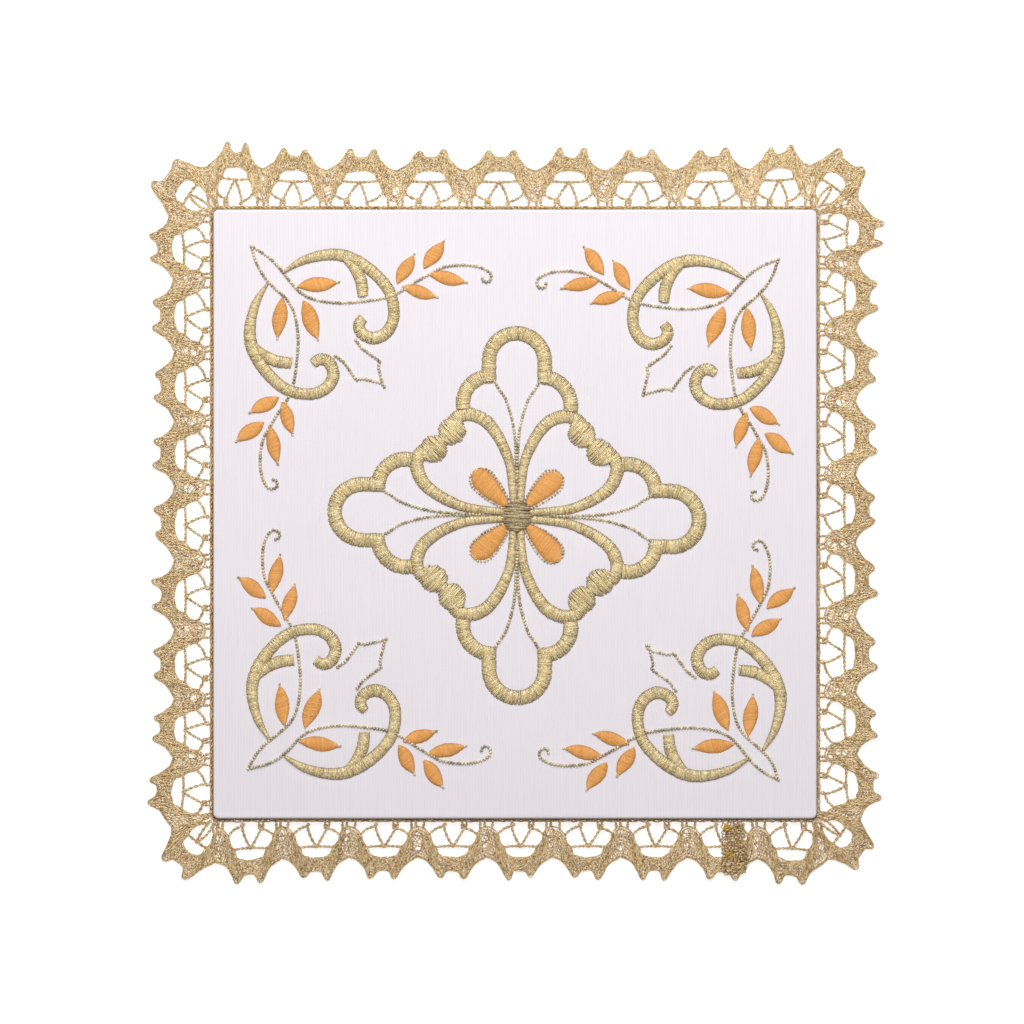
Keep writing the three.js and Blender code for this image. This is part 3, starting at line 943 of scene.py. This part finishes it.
@dataclass
class CornerSprays:
    """The four corner sprays. Half a spray is drawn from its tip, x along the panel's edge."""

    leaf_slant: float = 0.22
    tail_length: float = 0.5
    tip_ease: float = 10.0
    corners: tuple[Corner, ...] = (
        Corner(-1, 1, -69.9, 71.0, (2.0, 0.0), (-0.6, 1.4)),
        Corner(1, 1, 69.8, 67.5, (0.1, 0.8), (-0.3, 0.6)),
        Corner(-1, -1, -70.7, -67.5, (-1.6, 1.2), (0.8, -0.8)),
        Corner(1, -1, 69.8, -70.4, (0.7, -0.5), (-0.8, -0.6)),
    )

    SCROLL = (
        (8.7, 4.8, 0.7),
        (13.6, 1.9, 2.2),
        (20.0, 0.3, 3.0),
        (25.6, 0.9, 3.4),
        (31.8, 4.5, 3.2),
        (36.6, 10.0, 3.1),
        (37.8, 16.4, 3.1),
        (36.0, 20.7, 3.2),
        (32.6, 22.4, 3.3),
        (29.4, 21.2, 3.2),
        (28.5, 18.9, 3.1),
        (29.6, 17.2, 2.6),
    )
    THORN = ((24.6, 1.4, 1.2), (27.4, 4.0, 2.7), (29.1, 7.2, 3.2), (29.6, 11.1, 2.9))
    LEAVES = (
        ((38.7, 7.9), (43.0, 0.5), 3.9),
        ((40.0, 8.8), (49.0, 11.5), 3.6),
        ((45.8, 3.9), (50.9, -3.1), 4.0),
        ((46.9, 5.4), (56.8, 7.6), 3.7),
        ((12.2, 8.8), (22.9, 7.6), 4.0),
    )
    MIDDLE_LEAF = ((13.8, 12.4), (17.6, 22.5), 4.4)
    STEM = (
        (2.0, 0.8),
        (4.4, 1.9),
        (7.1, 3.9),
        (9.7, 6.7),
        (12.9, 10.2),
        (16.6, 12.1),
        (21.9, 13.0),
        (27.2, 12.9),
        (35.2, 11.8),
        (39.9, 9.9),
        (43.1, 7.8),
        (47.4, 5.4),
        (51.1, 3.6),
        (56.4, 3.0),
        (60.6, 3.6),
        (63.4, 5.2),
        (63.3, 7.2),
        (61.7, 7.5),
        (61.2, 6.4),
    )
    TAIL = ((27.7, 22.9), (29.3, 25.1), (32.5, 27.4), (34.1, 28.5), (33.7, 30.0), (34.9, 35.1))
    TAIL_TIP = np.array([[35.5, 35.7]])

    def halves(self) -> Iterator[tuple[Corner, bool]]:
        """Both halves of every spray."""
        for corner in self.corners:
            for mirrored in (False, True):
                yield corner, mirrored

    def satin(self) -> list[Satin]:
        """The scrolls and their thorns in gold."""
        forms = [smooth_line(rows, 0.6) for rows in (self.SCROLL, self.THORN)]
        return [Satin(corner.place(side)(rows)) for corner, side in self.halves() for rows in forms]

    def leaves(self) -> list[Satin]:
        """The orange leaves."""
        drawn = [corner.place(side)(leaf(*given)) for corner, side in self.halves() for given in self.LEAVES]
        drawn += [corner.place(False)(leaf(*self.MIDDLE_LEAF)) for corner in self.corners]
        return [Satin(rows, self.leaf_slant) for rows in drawn]

    def stems(self) -> list[np.ndarray]:
        """The thin stems and the stepped tails."""
        lines = []
        for corner, mirrored in self.halves():
            stem = corner.place(mirrored, self.tip_ease)(smooth_line(self.STEM, 0.5))
            lines.append(np.vstack([[[corner.x, corner.y]], stem]))
            tip = (corner.place(False)(self.TAIL_TIP) + corner.place(True)(self.TAIL_TIP)) / 2
            lines.append(np.vstack([corner.place(mirrored)(np.array(self.TAIL)), tip]))
        return lines

    def leaf_ends(self) -> list[np.ndarray]:
        """The short thread ends at the leaf tips."""
        lines = []
        for form in self.leaves():
            end, before = form.rows[-1, :2], form.rows[-4, :2]
            lines.append(np.array([end, end + self.tail_length * (end - before) / math.dist(end, before)]))
        return lines


@dataclass
class Embroidery:
    """All the stitching on the cloth's face."""

    cloth_top: float
    satin_rise: float
    leaf_rise: float = 0.5
    medallion: Medallion = field(default_factory=Medallion)
    sprays: CornerSprays = field(default_factory=CornerSprays)
    vein_slant: float = 0.5
    outline_slant: float = 0.45

    SATIN = {
        "Pitch": 0.35 * MM, "Thread": 0.22 * MM, "Sink": 0.12 * MM, "Fray": 0.045, "Sway": 0.10, "Seed": 11,
    }
    SILK = {**SATIN, "Pitch": 0.25 * MM, "Thread": 0.18 * MM, "Fray": 0.03, "Sway": 0.02}
    STEM = {
        "Pitch": 0.85 * MM, "Thread": 0.5 * MM, "Length": 0.95 * MM, "Bow": 0.2 * MM, "Sway": 0.12, "Seed": 5,
    }
    OUTLINE = {**STEM, "Pitch": 0.9 * MM, "Thread": 0.36 * MM, "Length": 0.8 * MM}

    def band_points(self) -> np.ndarray:
        """Points along every gold band."""
        forms = self.medallion.satin() + self.sprays.satin()
        return np.vstack([form.rows[::2, :2] for form in forms])

    def satin_lines(self, forms: Iterable[Satin]) -> ThreadLines:
        """Forms in satin stitch as lines that carry their half width and slant."""
        lines = ThreadLines(("half_width", "slant"))
        for form in forms:
            half = form.rows[:, 2] / 2 / math.cos(form.slant)
            lines.add(form.rows, self.cloth_top + form.lift, half_width=half * MM, slant=form.slant)
        return lines

    def thin_lines(self, drawn: Iterable[np.ndarray], slant: float) -> ThreadLines:
        """Thin stitched lines with one slant."""
        lines = ThreadLines(("slant",))
        for line in drawn:
            lines.add(line, self.cloth_top, slant=slant)
        return lines

    def build(self) -> list[tuple[bpy.types.Object, ThreadFinish]]:
        """Makes every piece of stitching.

        Returns:
            Each piece with its finish.
        """
        satin, stem = SatinRecipe(), StemRecipe()
        medallion, sprays = self.medallion, self.sprays
        gold, button, orange = GOLD_SATIN.material(), BUTTON_GOLD.material(), ORANGE_SILK.material()
        dark = DARK_GOLD.material()
        bands = {**self.SATIN, "Rise": self.satin_rise * MM}
        silk = {**self.SILK, "Rise": self.leaf_rise * MM}
        veins = self.thin_lines(medallion.veins() + sprays.stems(), self.vein_slant)
        outlines = self.thin_lines(medallion.petal_outlines() + sprays.leaf_ends(), self.outline_slant)
        made = []
        for name, forms, finish, material, sizes in (
            ("medallion_satin", medallion.satin(), GOLD_SATIN, gold, bands),
            ("button_satin", medallion.button(), BUTTON_GOLD, button, bands),
            ("corner_satin", sprays.satin(), GOLD_SATIN, gold, bands),
            ("orange_petals", medallion.petals(), ORANGE_SILK, orange, silk),
            ("orange_leaves", sprays.leaves(), ORANGE_SILK, orange, silk),
        ):
            made.append((satin.make(name, self.satin_lines(forms), material, sizes), finish))
        made.append((stem.make("stem_lines", veins, dark, self.STEM), DARK_GOLD))
        made.append((stem.make("edge_stitches", outlines, dark, self.OUTLINE), DARK_GOLD))
        return made


# The lace


class Side(Enum):
    """The panel's sides in the order that the lace runs round them: the way along, and the way out."""

    BOTTOM = ((1, 0), (0, -1))
    RIGHT = ((0, 1), (1, 0))
    TOP = ((-1, 0), (0, 1))
    LEFT = ((0, -1), (-1, 0))

    @property
    def along(self) -> np.ndarray:
        """The way that the strip runs."""
        return np.array(self.value[0], float)

    @property
    def out(self) -> np.ndarray:
        """The way away from the panel."""
        return np.array(self.value[1], float)

    @property
    def next(self) -> Side:
        """The side after the corner at this one's end."""
        order = list(Side)
        return order[(order.index(self) + 1) % len(order)]


@dataclass
class Scallop:
    """One scallop: its place on the strip, and the random numbers that make it uneven."""

    place: Place
    chance: random.Random
    edge: np.ndarray

    def waver(self, count: int, size: float) -> np.ndarray:
        """A smooth uneven shift along a line, none at its ends."""
        share = np.linspace(0, 1, count)
        waves = [self.chance.uniform(2, 9) for _ in range(3)]
        phases = [self.chance.uniform(0, math.tau) for _ in range(3)]
        whole = sum(np.sin(math.tau * w * share + p) for w, p in zip(waves, phases, strict=True))
        return size * whole / 2 * np.minimum(1, 4 * np.minimum(share, 1 - share))

    def scatter(self, count: int, size: float) -> np.ndarray:
        """A separate random shift for each point."""
        return np.array([self.chance.uniform(-size, size) for _ in range(count)])

    def tones(self, count: int, middle: float, size: float) -> np.ndarray:
        """A tone for each point of a thread, from 0 to 1."""
        return np.clip(middle + self.scatter(count, size), 0, 1)


@dataclass(frozen=True)
class JoinShape:
    """Where the strip's two ends lie over each other, on the bottom side."""

    middle: float = 58.3
    width: float = 6.6
    start: float = 0.5
    reach: float = 14.8
    loops: int = 170

    KNOTS = ((56.2, -83.5), (56.7, -90.6))
    KNOT_RADIUS = 1.1
    KNOT_LOOPS = 14


@dataclass
class LaceEdging:
    """The strip of bobbin lace round the panel, thread by thread."""

    half_x: float
    half_y: float
    corner: float
    seam_gap: float = 0.4
    midline: float = 8.0
    thickness: float = 1.2
    foot_rise: float = 1.3
    slope_reach: float = 12.0
    ripple_rise: float = 0.7
    ripple_waves: int = 11
    ripple_phase: float = 0.8
    deepest: float = 16.0
    corner_growth: float = 0.14
    growth_power: int = 6
    passives: int = 10
    workers: int = 12
    swings: int = 7
    weave: float = 0.24
    twist_pitch: float = 2.6
    width_scale: float = 9.0
    radius_of_thread: float = 0.17
    band_steps: int = 48
    swing_points: int = 8
    passive_girth: float = 0.95
    worker_girth: float = 0.85
    hole_reach: float = 2.2
    leg_radius: float = 0.24
    leg_girth: float = 1.25
    cord_radius: float = 0.22
    cord_girth: float = 1.35
    tangle_girth: float = 1.1
    knot_girth: float = 1.25

    # The valleys' distances from the middle of each side in mm, measured in the photo
    VALLEYS = {
        Side.BOTTOM: (-79.4, -62.0, -44.3, -26.0, -7.7, 9.8, 28.1, 45.8, 64.4, 82.0),
        Side.RIGHT: (-80.8, -64.1, -47.4, -27.3, -8.0, 10.3, 29.9, 48.8, 66.8, 82.4),
        Side.TOP: (-78.7, -62.5, -42.7, -24.1, -5.6, 13.0, 31.5, 50.1, 67.0, 81.2),
        Side.LEFT: (-79.3, -62.5, -43.2, -24.9, -7.4, 12.2, 30.7, 49.0, 64.9, 82.2),
    }
    OUTER_EDGE = (
        (-1.0, 10.0),
        (-0.74, 10.9),
        (-0.52, 13.2),
        (-0.4, 15.6),
        (-0.28, 15.5),
        (-0.15, 13.7),
        (0.16, 13.7),
        (0.28, 15.5),
        (0.4, 15.4),
        (0.64, 12.1),
        (1.0, 10.0),
    )
    INNER_EDGE = (
        (-1.0, 1.7),
        (-0.78, 2.4),
        (-0.62, 4.2),
        (-0.56, 6.1),
        (-0.43, 7.7),
        (-0.37, 9.3),
        (-0.12, 10.1),
        (0.18, 10.1),
        (0.43, 9.3),
        (0.53, 7.4),
        (0.70, 5.6),
        (0.74, 3.9),
        (0.86, 2.3),
        (1.0, 1.7),
    )
    LEGS = (
        ((0.54, 7.3), (0.3, 7.15), (0.05, 7.1)),
        ((0.05, 7.1), (-0.2, 7.15), (-0.46, 7.4)),
        ((0.08, 6.8), (0.22, 5.0), (0.38, 2.5)),
        ((0.02, 6.8), (-0.08, 5.0), (-0.175, 2.6), (-0.18, 1.2)),
        ((0.42, 2.4), (0.58, 2.8), (0.76, 3.9)),
        ((-0.2, 1.7), (-0.44, 2.5), (-0.64, 4.1)),
        ((0.44, 2.4), (0.45, 0.6)),
        ((0.33, 2.4), (0.32, 0.6)),
        ((0.46, 1.5), (0.3, 1.5)),
        ((0.86, 2.4), (0.84, 0.5)),
        ((0.98, 1.8), (0.97, 0.5)),
        ((-0.8, 2.4), (-0.78, 0.5)),
    )
    KNOTS = ((0.05, 7.1, 0.6), (0.38, 2.4, 0.5), (-0.18, 1.3, 0.7))
    VALLEY_HOLES = ((0.10, 7.0, 0.75), (-0.10, 5.1, 0.8), (0.08, 3.4, 0.65))
    PICOTS = {3: -1, 4: -1, 7: 1, 8: 1}

    def __post_init__(self) -> None:
        """Works out the seam that the strip starts from."""
        self.seam_x = self.half_x + self.seam_gap
        self.seam_y = self.half_y + self.seam_gap
        self.radius = self.corner + self.seam_gap

    def straight(self, side: Side) -> float:
        """Half the length of the straight part of a side."""
        return (self.seam_x if side.along[0] else self.seam_y) - self.radius

    def reach(self, side: Side) -> float:
        """How far a side's rounded corners are centred from the middle of the panel."""
        return (self.seam_y if side.along[0] else self.seam_x) - self.radius

    def scallop(self, side: Side, start: float, end: float, seed: int) -> Scallop:
        """The scallop between two valleys.

        Args:
            side: The side that the scallop starts on.
            start: Where it starts, along the strip's middle line from the side's middle.
            end: Where it ends, which may be round the corner.
            seed: The seed of its unevenness.

        Returns:
            The scallop, whose place takes u from valley to valley, -1 to 1, and v outwards in mm.
        """
        straight = self.straight(side)

        def place(rows: np.ndarray) -> np.ndarray:
            """Moves rows of u and v to places on the strip."""
            distance = (start + end) / 2 + rows[:, 0] * (end - start) / 2
            on_straight = np.clip(distance, -straight, straight)
            angle = (distance - on_straight) / (self.radius + self.midline)
            share = np.minimum(np.abs(distance) / straight, 1)
            far = self.radius + rows[:, 1] * (1 + self.corner_growth * share**self.growth_power)
            heading = np.outer(np.cos(angle), side.out) + np.outer(np.sin(angle), side.along)
            return np.outer(on_straight, side.along) + self.reach(side) * side.out + heading * far[:, None]

        chance = random.Random(seed)
        lifts = {sign: (chance.uniform(-0.03, 0.03), chance.uniform(-0.7, 0.3)) for sign in (-1, 1)}
        edge = np.array(self.OUTER_EDGE)
        for row, sign in self.PICOTS.items():
            edge[row] += lifts[sign]
        return Scallop(place, chance, edge)

    def scallops(self, side: Side) -> Iterator[Scallop]:
        """The nine scallops along a side and the one round the corner after it."""
        stops = self.VALLEYS[side]
        turn = (self.radius + self.midline) * math.pi / 2
        corner_end = self.straight(side) + turn + self.VALLEYS[side.next][0] + self.straight(side.next)
        seed = 100 * (1 + list(Side).index(side))
        for number, (start, end) in enumerate(zip(stops, (*stops[1:], corner_end), strict=True)):
            yield self.scallop(side, start, end, seed + number)

    def height(self, places: np.ndarray) -> np.ndarray:
        """The middle of the strip's thickness over the table."""
        x, y = places[:, 0], places[:, 1]
        over_x = np.maximum(np.abs(x) - self.seam_x + self.radius, 0)
        over_y = np.maximum(np.abs(y) - self.seam_y + self.radius, 0)
        out = np.maximum(np.hypot(over_x, over_y) - self.radius, 0)
        slope = self.foot_rise * np.maximum(0, 1 - out / self.slope_reach) ** 2
        ripple = np.maximum(0, np.sin(self.ripple_waves * np.arctan2(y, x) + self.ripple_phase))
        return slope + self.ripple_rise * ripple * (out / self.deepest) ** 2 + self.thickness / 2

    def opened(self, places: np.ndarray, holes: list[tuple[np.ndarray, float]]) -> np.ndarray:
        """Pushes threads aside round the small holes of the weave."""
        for centre, radius in holes:
            away = places - centre
            apart = np.maximum(np.hypot(*away.T), 1e-6)
            reach = self.hole_reach * radius
            pushed = np.where(apart < reach, radius + apart * (1 - radius / reach), apart)
            places = centre + away * (pushed / apart)[:, None]
        return places

    def thread(self, lines: ThreadLines, places: np.ndarray, lift: Lift, girth: float, tone: Lift) -> None:
        """Adds one thread that lies on the strip, lifted from its middle."""
        lines.add(places, self.height(places) + lift, girth=girth, tone=tone)

    def twisted(
        self, lines: ThreadLines, places: np.ndarray, radius: float, girth: float, tone: float
    ) -> None:
        """Adds a pair of threads twisted round a line.

        Args:
            lines: The lines that the pair is added to.
            places: The line that they are twisted round.
            radius: How far each is from that line.
            girth: How thick each is, as a share of the plain thread.
            tone: Their tone, from 0 to 1.
        """
        run = float(np.hypot(*np.diff(places, axis=0).T).sum())
        turns = max(1, round(run / self.twist_pitch))
        line = even_line(places, max(5, 7 * turns + 1))
        angle = np.linspace(0, math.tau * turns, len(line))
        for start in (0, math.pi):
            wound = line + across_of(line) * (radius * np.cos(angle + start))[:, None]
            self.thread(lines, wound, radius * np.sin(angle + start), girth, tone)

    def edge_line(self, rows: Iterable[Iterable[float]], count: int) -> np.ndarray:
        """A smooth line through rows of u and v, with points at even distances in mm."""
        scale = np.array([self.width_scale, 1.0])
        return even_line(smooth_line(rows, 0.06) * scale, count) / scale

    def holes(self, one: Scallop) -> list[tuple[np.ndarray, float]]:
        """The small holes in the two valleys beside a scallop, which its neighbours share."""
        made = []
        for end in (-1, 1):
            valley = random.Random(round(float(one.place(np.array([[end, 8.0]])).sum()) * 10))
            for u, v, radius in self.VALLEY_HOLES:
                centre = np.array([[end + u * valley.uniform(-1, 1), v + valley.uniform(-0.6, 0.6)]])
                made.append((one.place(centre)[0], radius * valley.uniform(0.35, 1.15)))
        return made

    def weave_band(self, lines: ThreadLines, one: Scallop) -> None:
        """Adds the woven band of a scallop: threads along it, and a net of threads slanted across it.

        Args:
            lines: The lines that the threads are added to.
            one: The scallop.
        """
        steps = self.band_steps
        inner, outer = self.edge_line(self.INNER_EDGE, steps), self.edge_line(one.edge, steps)
        holes = self.holes(one)
        for number in range(self.passives):
            rows = inner + (outer - inner) * (number + 0.15) / (self.passives - 0.7)
            rows[:, 1] += one.waver(steps, 0.16) + one.scatter(steps, 0.10)
            rise = self.weave * np.cos(math.pi * (np.arange(steps) + number)) - 0.1
            tone = one.tones(steps, one.chance.uniform(0.1, 0.6), 0.5)
            self.thread(lines, self.opened(one.place(rows), holes), rise, self.passive_girth, tone)
        count = self.swings * self.swing_points + 1
        at = np.linspace(0, steps - 1, count)
        order = np.arange(steps)
        low, high = (
            np.column_stack([np.interp(at, order, column) for column in edge.T]) for edge in (inner, outer)
        )
        for number in range(self.workers):
            swing = np.arange(count) / self.swing_points + 2 * number / self.workers
            rows = low + (high - low) * (0.01 + 0.98 * np.abs(swing % 2 - 1))[:, None]
            rows[:, 0] += one.waver(count, 0.02) + one.scatter(count, 0.016)
            rows[:, 1] += one.scatter(count, 0.15)
            rise = -self.weave * np.cos(math.pi * np.arange(count)) + 0.05
            tone = one.tones(count, one.chance.uniform(0.35, 0.8), 0.5)
            self.thread(lines, self.opened(one.place(rows), holes), rise, self.worker_girth, tone)

    def outline(self, lines: ThreadLines, one: Scallop) -> None:
        """Adds the crisp threads along a scallop's outer edge and round its opening."""
        for offset, girth in ((0.14, 0.95), (-0.32, 0.85)):
            rows = self.edge_line(one.edge, 60)
            rows[:, 1] += offset + one.waver(len(rows), 0.12)
            tone = one.tones(len(rows), 0.45, 0.2)
            self.thread(lines, one.place(rows), one.waver(len(rows), 0.1), girth, tone)
        rows = self.edge_line(self.INNER_EDGE, 50)
        rows[:, 1] += one.waver(len(rows), 0.08)
        self.thread(lines, one.place(rows), 0.05, 1.0, one.tones(len(rows), 0.45, 0.3))

    def opening(self, lines: ThreadLines, one: Scallop) -> None:
        """Adds the twisted legs, the crossbar and the knots in a scallop's opening.

        Args:
            lines: The lines that the threads are added to.
            one: The scallop.
        """
        lean = one.chance.uniform(-0.04, 0.04)
        for leg in self.LEGS:
            rows = smooth_line(leg, 0.05)
            rows[:, 0] += lean * np.clip((7.6 - rows[:, 1]) / 3, 0, 1) * np.clip(rows[:, 1] / 2, 0, 1)
            tone = one.chance.uniform(0.3, 0.55)
            self.twisted(lines, one.place(rows), self.leg_radius, self.leg_girth, tone)
        for u, v, size in self.KNOTS:
            centre = one.place(np.array([[u + lean * 0.5, v]]))[0]
            for turn in range(3):
                angle = np.linspace(0, math.tau * 1.1, 12) + one.chance.uniform(0, math.tau)
                grown = size * one.chance.uniform(0.45, 0.95)
                ring = centre + grown * np.column_stack([np.cos(angle), 0.8 * np.sin(angle)])
                self.thread(lines, ring, 0.18 * np.sin(2 * angle + turn), 1.0, one.chance.uniform(0.3, 0.9))

    def foot(self, lines: ThreadLines, one: Scallop) -> None:
        """Adds the twisted cord along the seam and a looser thread on either side of it."""
        u = np.linspace(-1, 1, 41)
        # The cord's tone is kept low, so it is darker than the rest of the lace: partly the thread's own
        # colour, partly a painted shade along the seam.
        cord = one.place(np.column_stack([u, -0.05 + one.waver(len(u), 0.05)]))
        self.twisted(lines, cord, self.cord_radius, self.cord_girth, one.chance.uniform(0.05, 0.3))
        for v, waver in ((-0.38, 0.04), (0.45, 0.12)):
            beside = np.column_stack([u, v + one.waver(len(u), waver)])
            self.thread(lines, one.place(beside), 0.1, 1.2, one.tones(len(u), 0.4, 0.4))

    def loop(self, chance: random.Random, centre: np.ndarray, size: float) -> np.ndarray:
        """A crooked loop of thread."""
        count = 9
        angle = np.linspace(0, math.tau * chance.uniform(0.7, 1.2), count) + chance.uniform(0, math.tau)
        far = size * np.array([chance.uniform(0.35, 1.0) for _ in range(count)])
        return centre + far[:, None] * np.column_stack([np.cos(angle), np.sin(angle)])

    def tangle(self, lines: ThreadLines) -> None:
        """Adds the dense tangle where the strip's two ends are folded over each other.

        Args:
            lines: The lines that the loops are added to.
        """
        chance = random.Random(77)
        shape = JoinShape()
        for _ in range(shape.loops):
            x = shape.middle + chance.uniform(-0.42, 0.42) * shape.width
            centre = np.array([x, -self.seam_y - chance.uniform(shape.start + 0.7, shape.reach - 1.0)])
            places = self.loop(chance, centre, chance.uniform(0.7, 1.5))
            places[:, 1] = np.minimum(places[:, 1], -self.seam_y - shape.start)
            rise = np.array([chance.uniform(-0.3, 1.2) for _ in places])
            tone = np.array([chance.uniform(0.0, 0.8) for _ in places])
            self.thread(lines, places, rise, self.tangle_girth, tone)

    def knots(self) -> ThreadLines:
        """The two yellow knots on the join.

        Returns:
            The loops of thread that make up both.
        """
        chance = random.Random(5)
        lines = ThreadLines(("girth", "tone"))
        for knot in JoinShape.KNOTS:
            for _ in range(JoinShape.KNOT_LOOPS):
                size = JoinShape.KNOT_RADIUS * chance.uniform(0.3, 1.1)
                places = self.loop(chance, np.array(knot), size)
                rise = np.array([chance.uniform(0.8, 1.5) for _ in places])
                tone = np.array([chance.uniform(0.0, 1.0) for _ in places])
                self.thread(lines, places, rise, self.knot_girth, tone)
        return lines

    def build(self) -> list[tuple[bpy.types.Object, ThreadFinish]]:
        """Makes the lace, one piece to a side.

        Returns:
            Each piece with its finish.
        """
        recipe, finish = LaceRecipe(), LACE_GOLD.material()
        sizes = {"Thread": self.radius_of_thread * MM}
        made = []
        for side in Side:
            lines = ThreadLines(("girth", "tone"))
            for one in self.scallops(side):
                self.weave_band(lines, one)
                self.outline(lines, one)
                self.opening(lines, one)
                self.foot(lines, one)
            if side is Side.BOTTOM:
                self.tangle(lines)
            made.append((recipe.make("lace_" + side.name.lower(), lines, finish, sizes), LACE_GOLD))
        knots = recipe.make("join_knots", self.knots(), KNOT_GOLD.material(), sizes)
        return [*made, (knots, KNOT_GOLD)]


# The studio


@dataclass
class Studio:
    """The floor, the light and the camera over the pall."""

    picture_width: float = 0.2713
    centre_x: float = -0.8 * MM
    centre_y: float = 0.53 * MM
    lens: float = 100.0
    sensor: float = 36.0
    floor_half: float = 3.0
    floor_drop: float = 0.1 * MM
    floor_grey: float = 0.5
    floor_glow: float = 0.72
    sky_glow: float = 0.29

    KEY_LAMP = ("key_lamp", Vector((0.0, 0.43, 0.55)), 0.5, 4.4)
    FILL_LAMP = ("fill_lamp", Vector((0.25, -0.45, 0.8)), 0.7, 0.4)

    def floor(self) -> None:
        """A plain white floor, just under the pall."""
        half = self.floor_half
        mesh = bpy.data.meshes.new("floor")
        low = -self.floor_drop
        corners = [(-half, -half, low), (half, -half, low), (half, half, low), (-half, half, low)]
        mesh.from_pydata(corners, [], [(0, 1, 2, 3)])
        material, graph = shader("white_floor")
        grey = self.floor_grey
        glow = {"Emission Color": (1.0, 1.0, 1.0, 1.0), "Emission Strength": self.floor_glow}
        looks = {"Base Color": (grey, grey, grey, 1.0), "Roughness": 0.9, **glow}
        paint = graph.node("ShaderNodeBsdfPrincipled", None, looks)
        graph.node("ShaderNodeOutputMaterial", None, {"Surface": paint})
        mesh.materials.append(material)
        linked("floor", mesh)

    def lamp(self, name: str, place: Vector, size: float, power: float) -> None:
        """A soft square lamp that faces the pall."""
        light = bpy.data.lights.new(name, "AREA")
        light.size = size
        light.energy = power
        lamp = linked(name, light)
        lamp.location = place
        lamp.rotation_euler = (-place).to_track_quat("-Z", "Y").to_euler()

    def light(self) -> None:
        """A large lamp behind the pall, a weaker one in front, and a pale sky."""
        self.lamp(*self.KEY_LAMP)
        self.lamp(*self.FILL_LAMP)
        world = bpy.data.worlds.new("studio")
        world.use_nodes = True
        graph = Graph(world.node_tree)
        glow = {"Color": (1.0, 0.99, 1.0, 1.0), "Strength": self.sky_glow}
        sky = graph.node("ShaderNodeBackground", None, glow)
        graph.node("ShaderNodeOutputWorld", None, {"Surface": sky})
        bpy.context.scene.world = world
        bpy.context.scene.view_settings.view_transform = "Standard"

    def camera(self, top: float) -> None:
        """A camera straight above the pall.

        Args:
            top: The height of the cloth, at which the picture has its width.
        """
        view = bpy.data.cameras.new("camera")
        view.lens = self.lens
        view.sensor_width = self.sensor
        camera = linked("camera", view)
        camera.location = (self.centre_x, self.centre_y, top + self.picture_width * self.lens / self.sensor)
        bpy.context.scene.camera = camera


def main() -> None:
    """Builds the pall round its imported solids."""
    logging.basicConfig(level=logging.INFO, format="%(name)s: %(message)s")
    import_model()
    low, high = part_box(PANEL_NODE)
    half_x, half_y = ((high[axis] - low[axis]) / 2 / MM for axis in (0, 1))
    panel = Panel(half_x, half_y, high.z / MM - SATIN_RISE)
    embroidery = Embroidery(panel.thickness, SATIN_RISE)
    cover = panel.build(embroidery.band_points())
    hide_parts(PANEL_NODE)
    dressed = [(cover, panel.finish), *embroidery.build()]
    lace = LaceEdging(half_x, half_y, panel.corner).build()
    for piece, _ in lace:
        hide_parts(LACE_NODE)
    for piece, finish in [*dressed, *lace]:
        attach(piece, BODY)
        triangles = sum(len(face.vertices) - 2 for face in piece.data.polygons)
        log.info("%s: %d triangles", piece.name, triangles)
    trims = [piece for piece, _ in [*dressed[1:], *lace]]
    studio = Studio()
    studio.floor()
    studio.light()
    studio.camera(panel.thickness * MM)


if __name__ == "__main__":
    main()
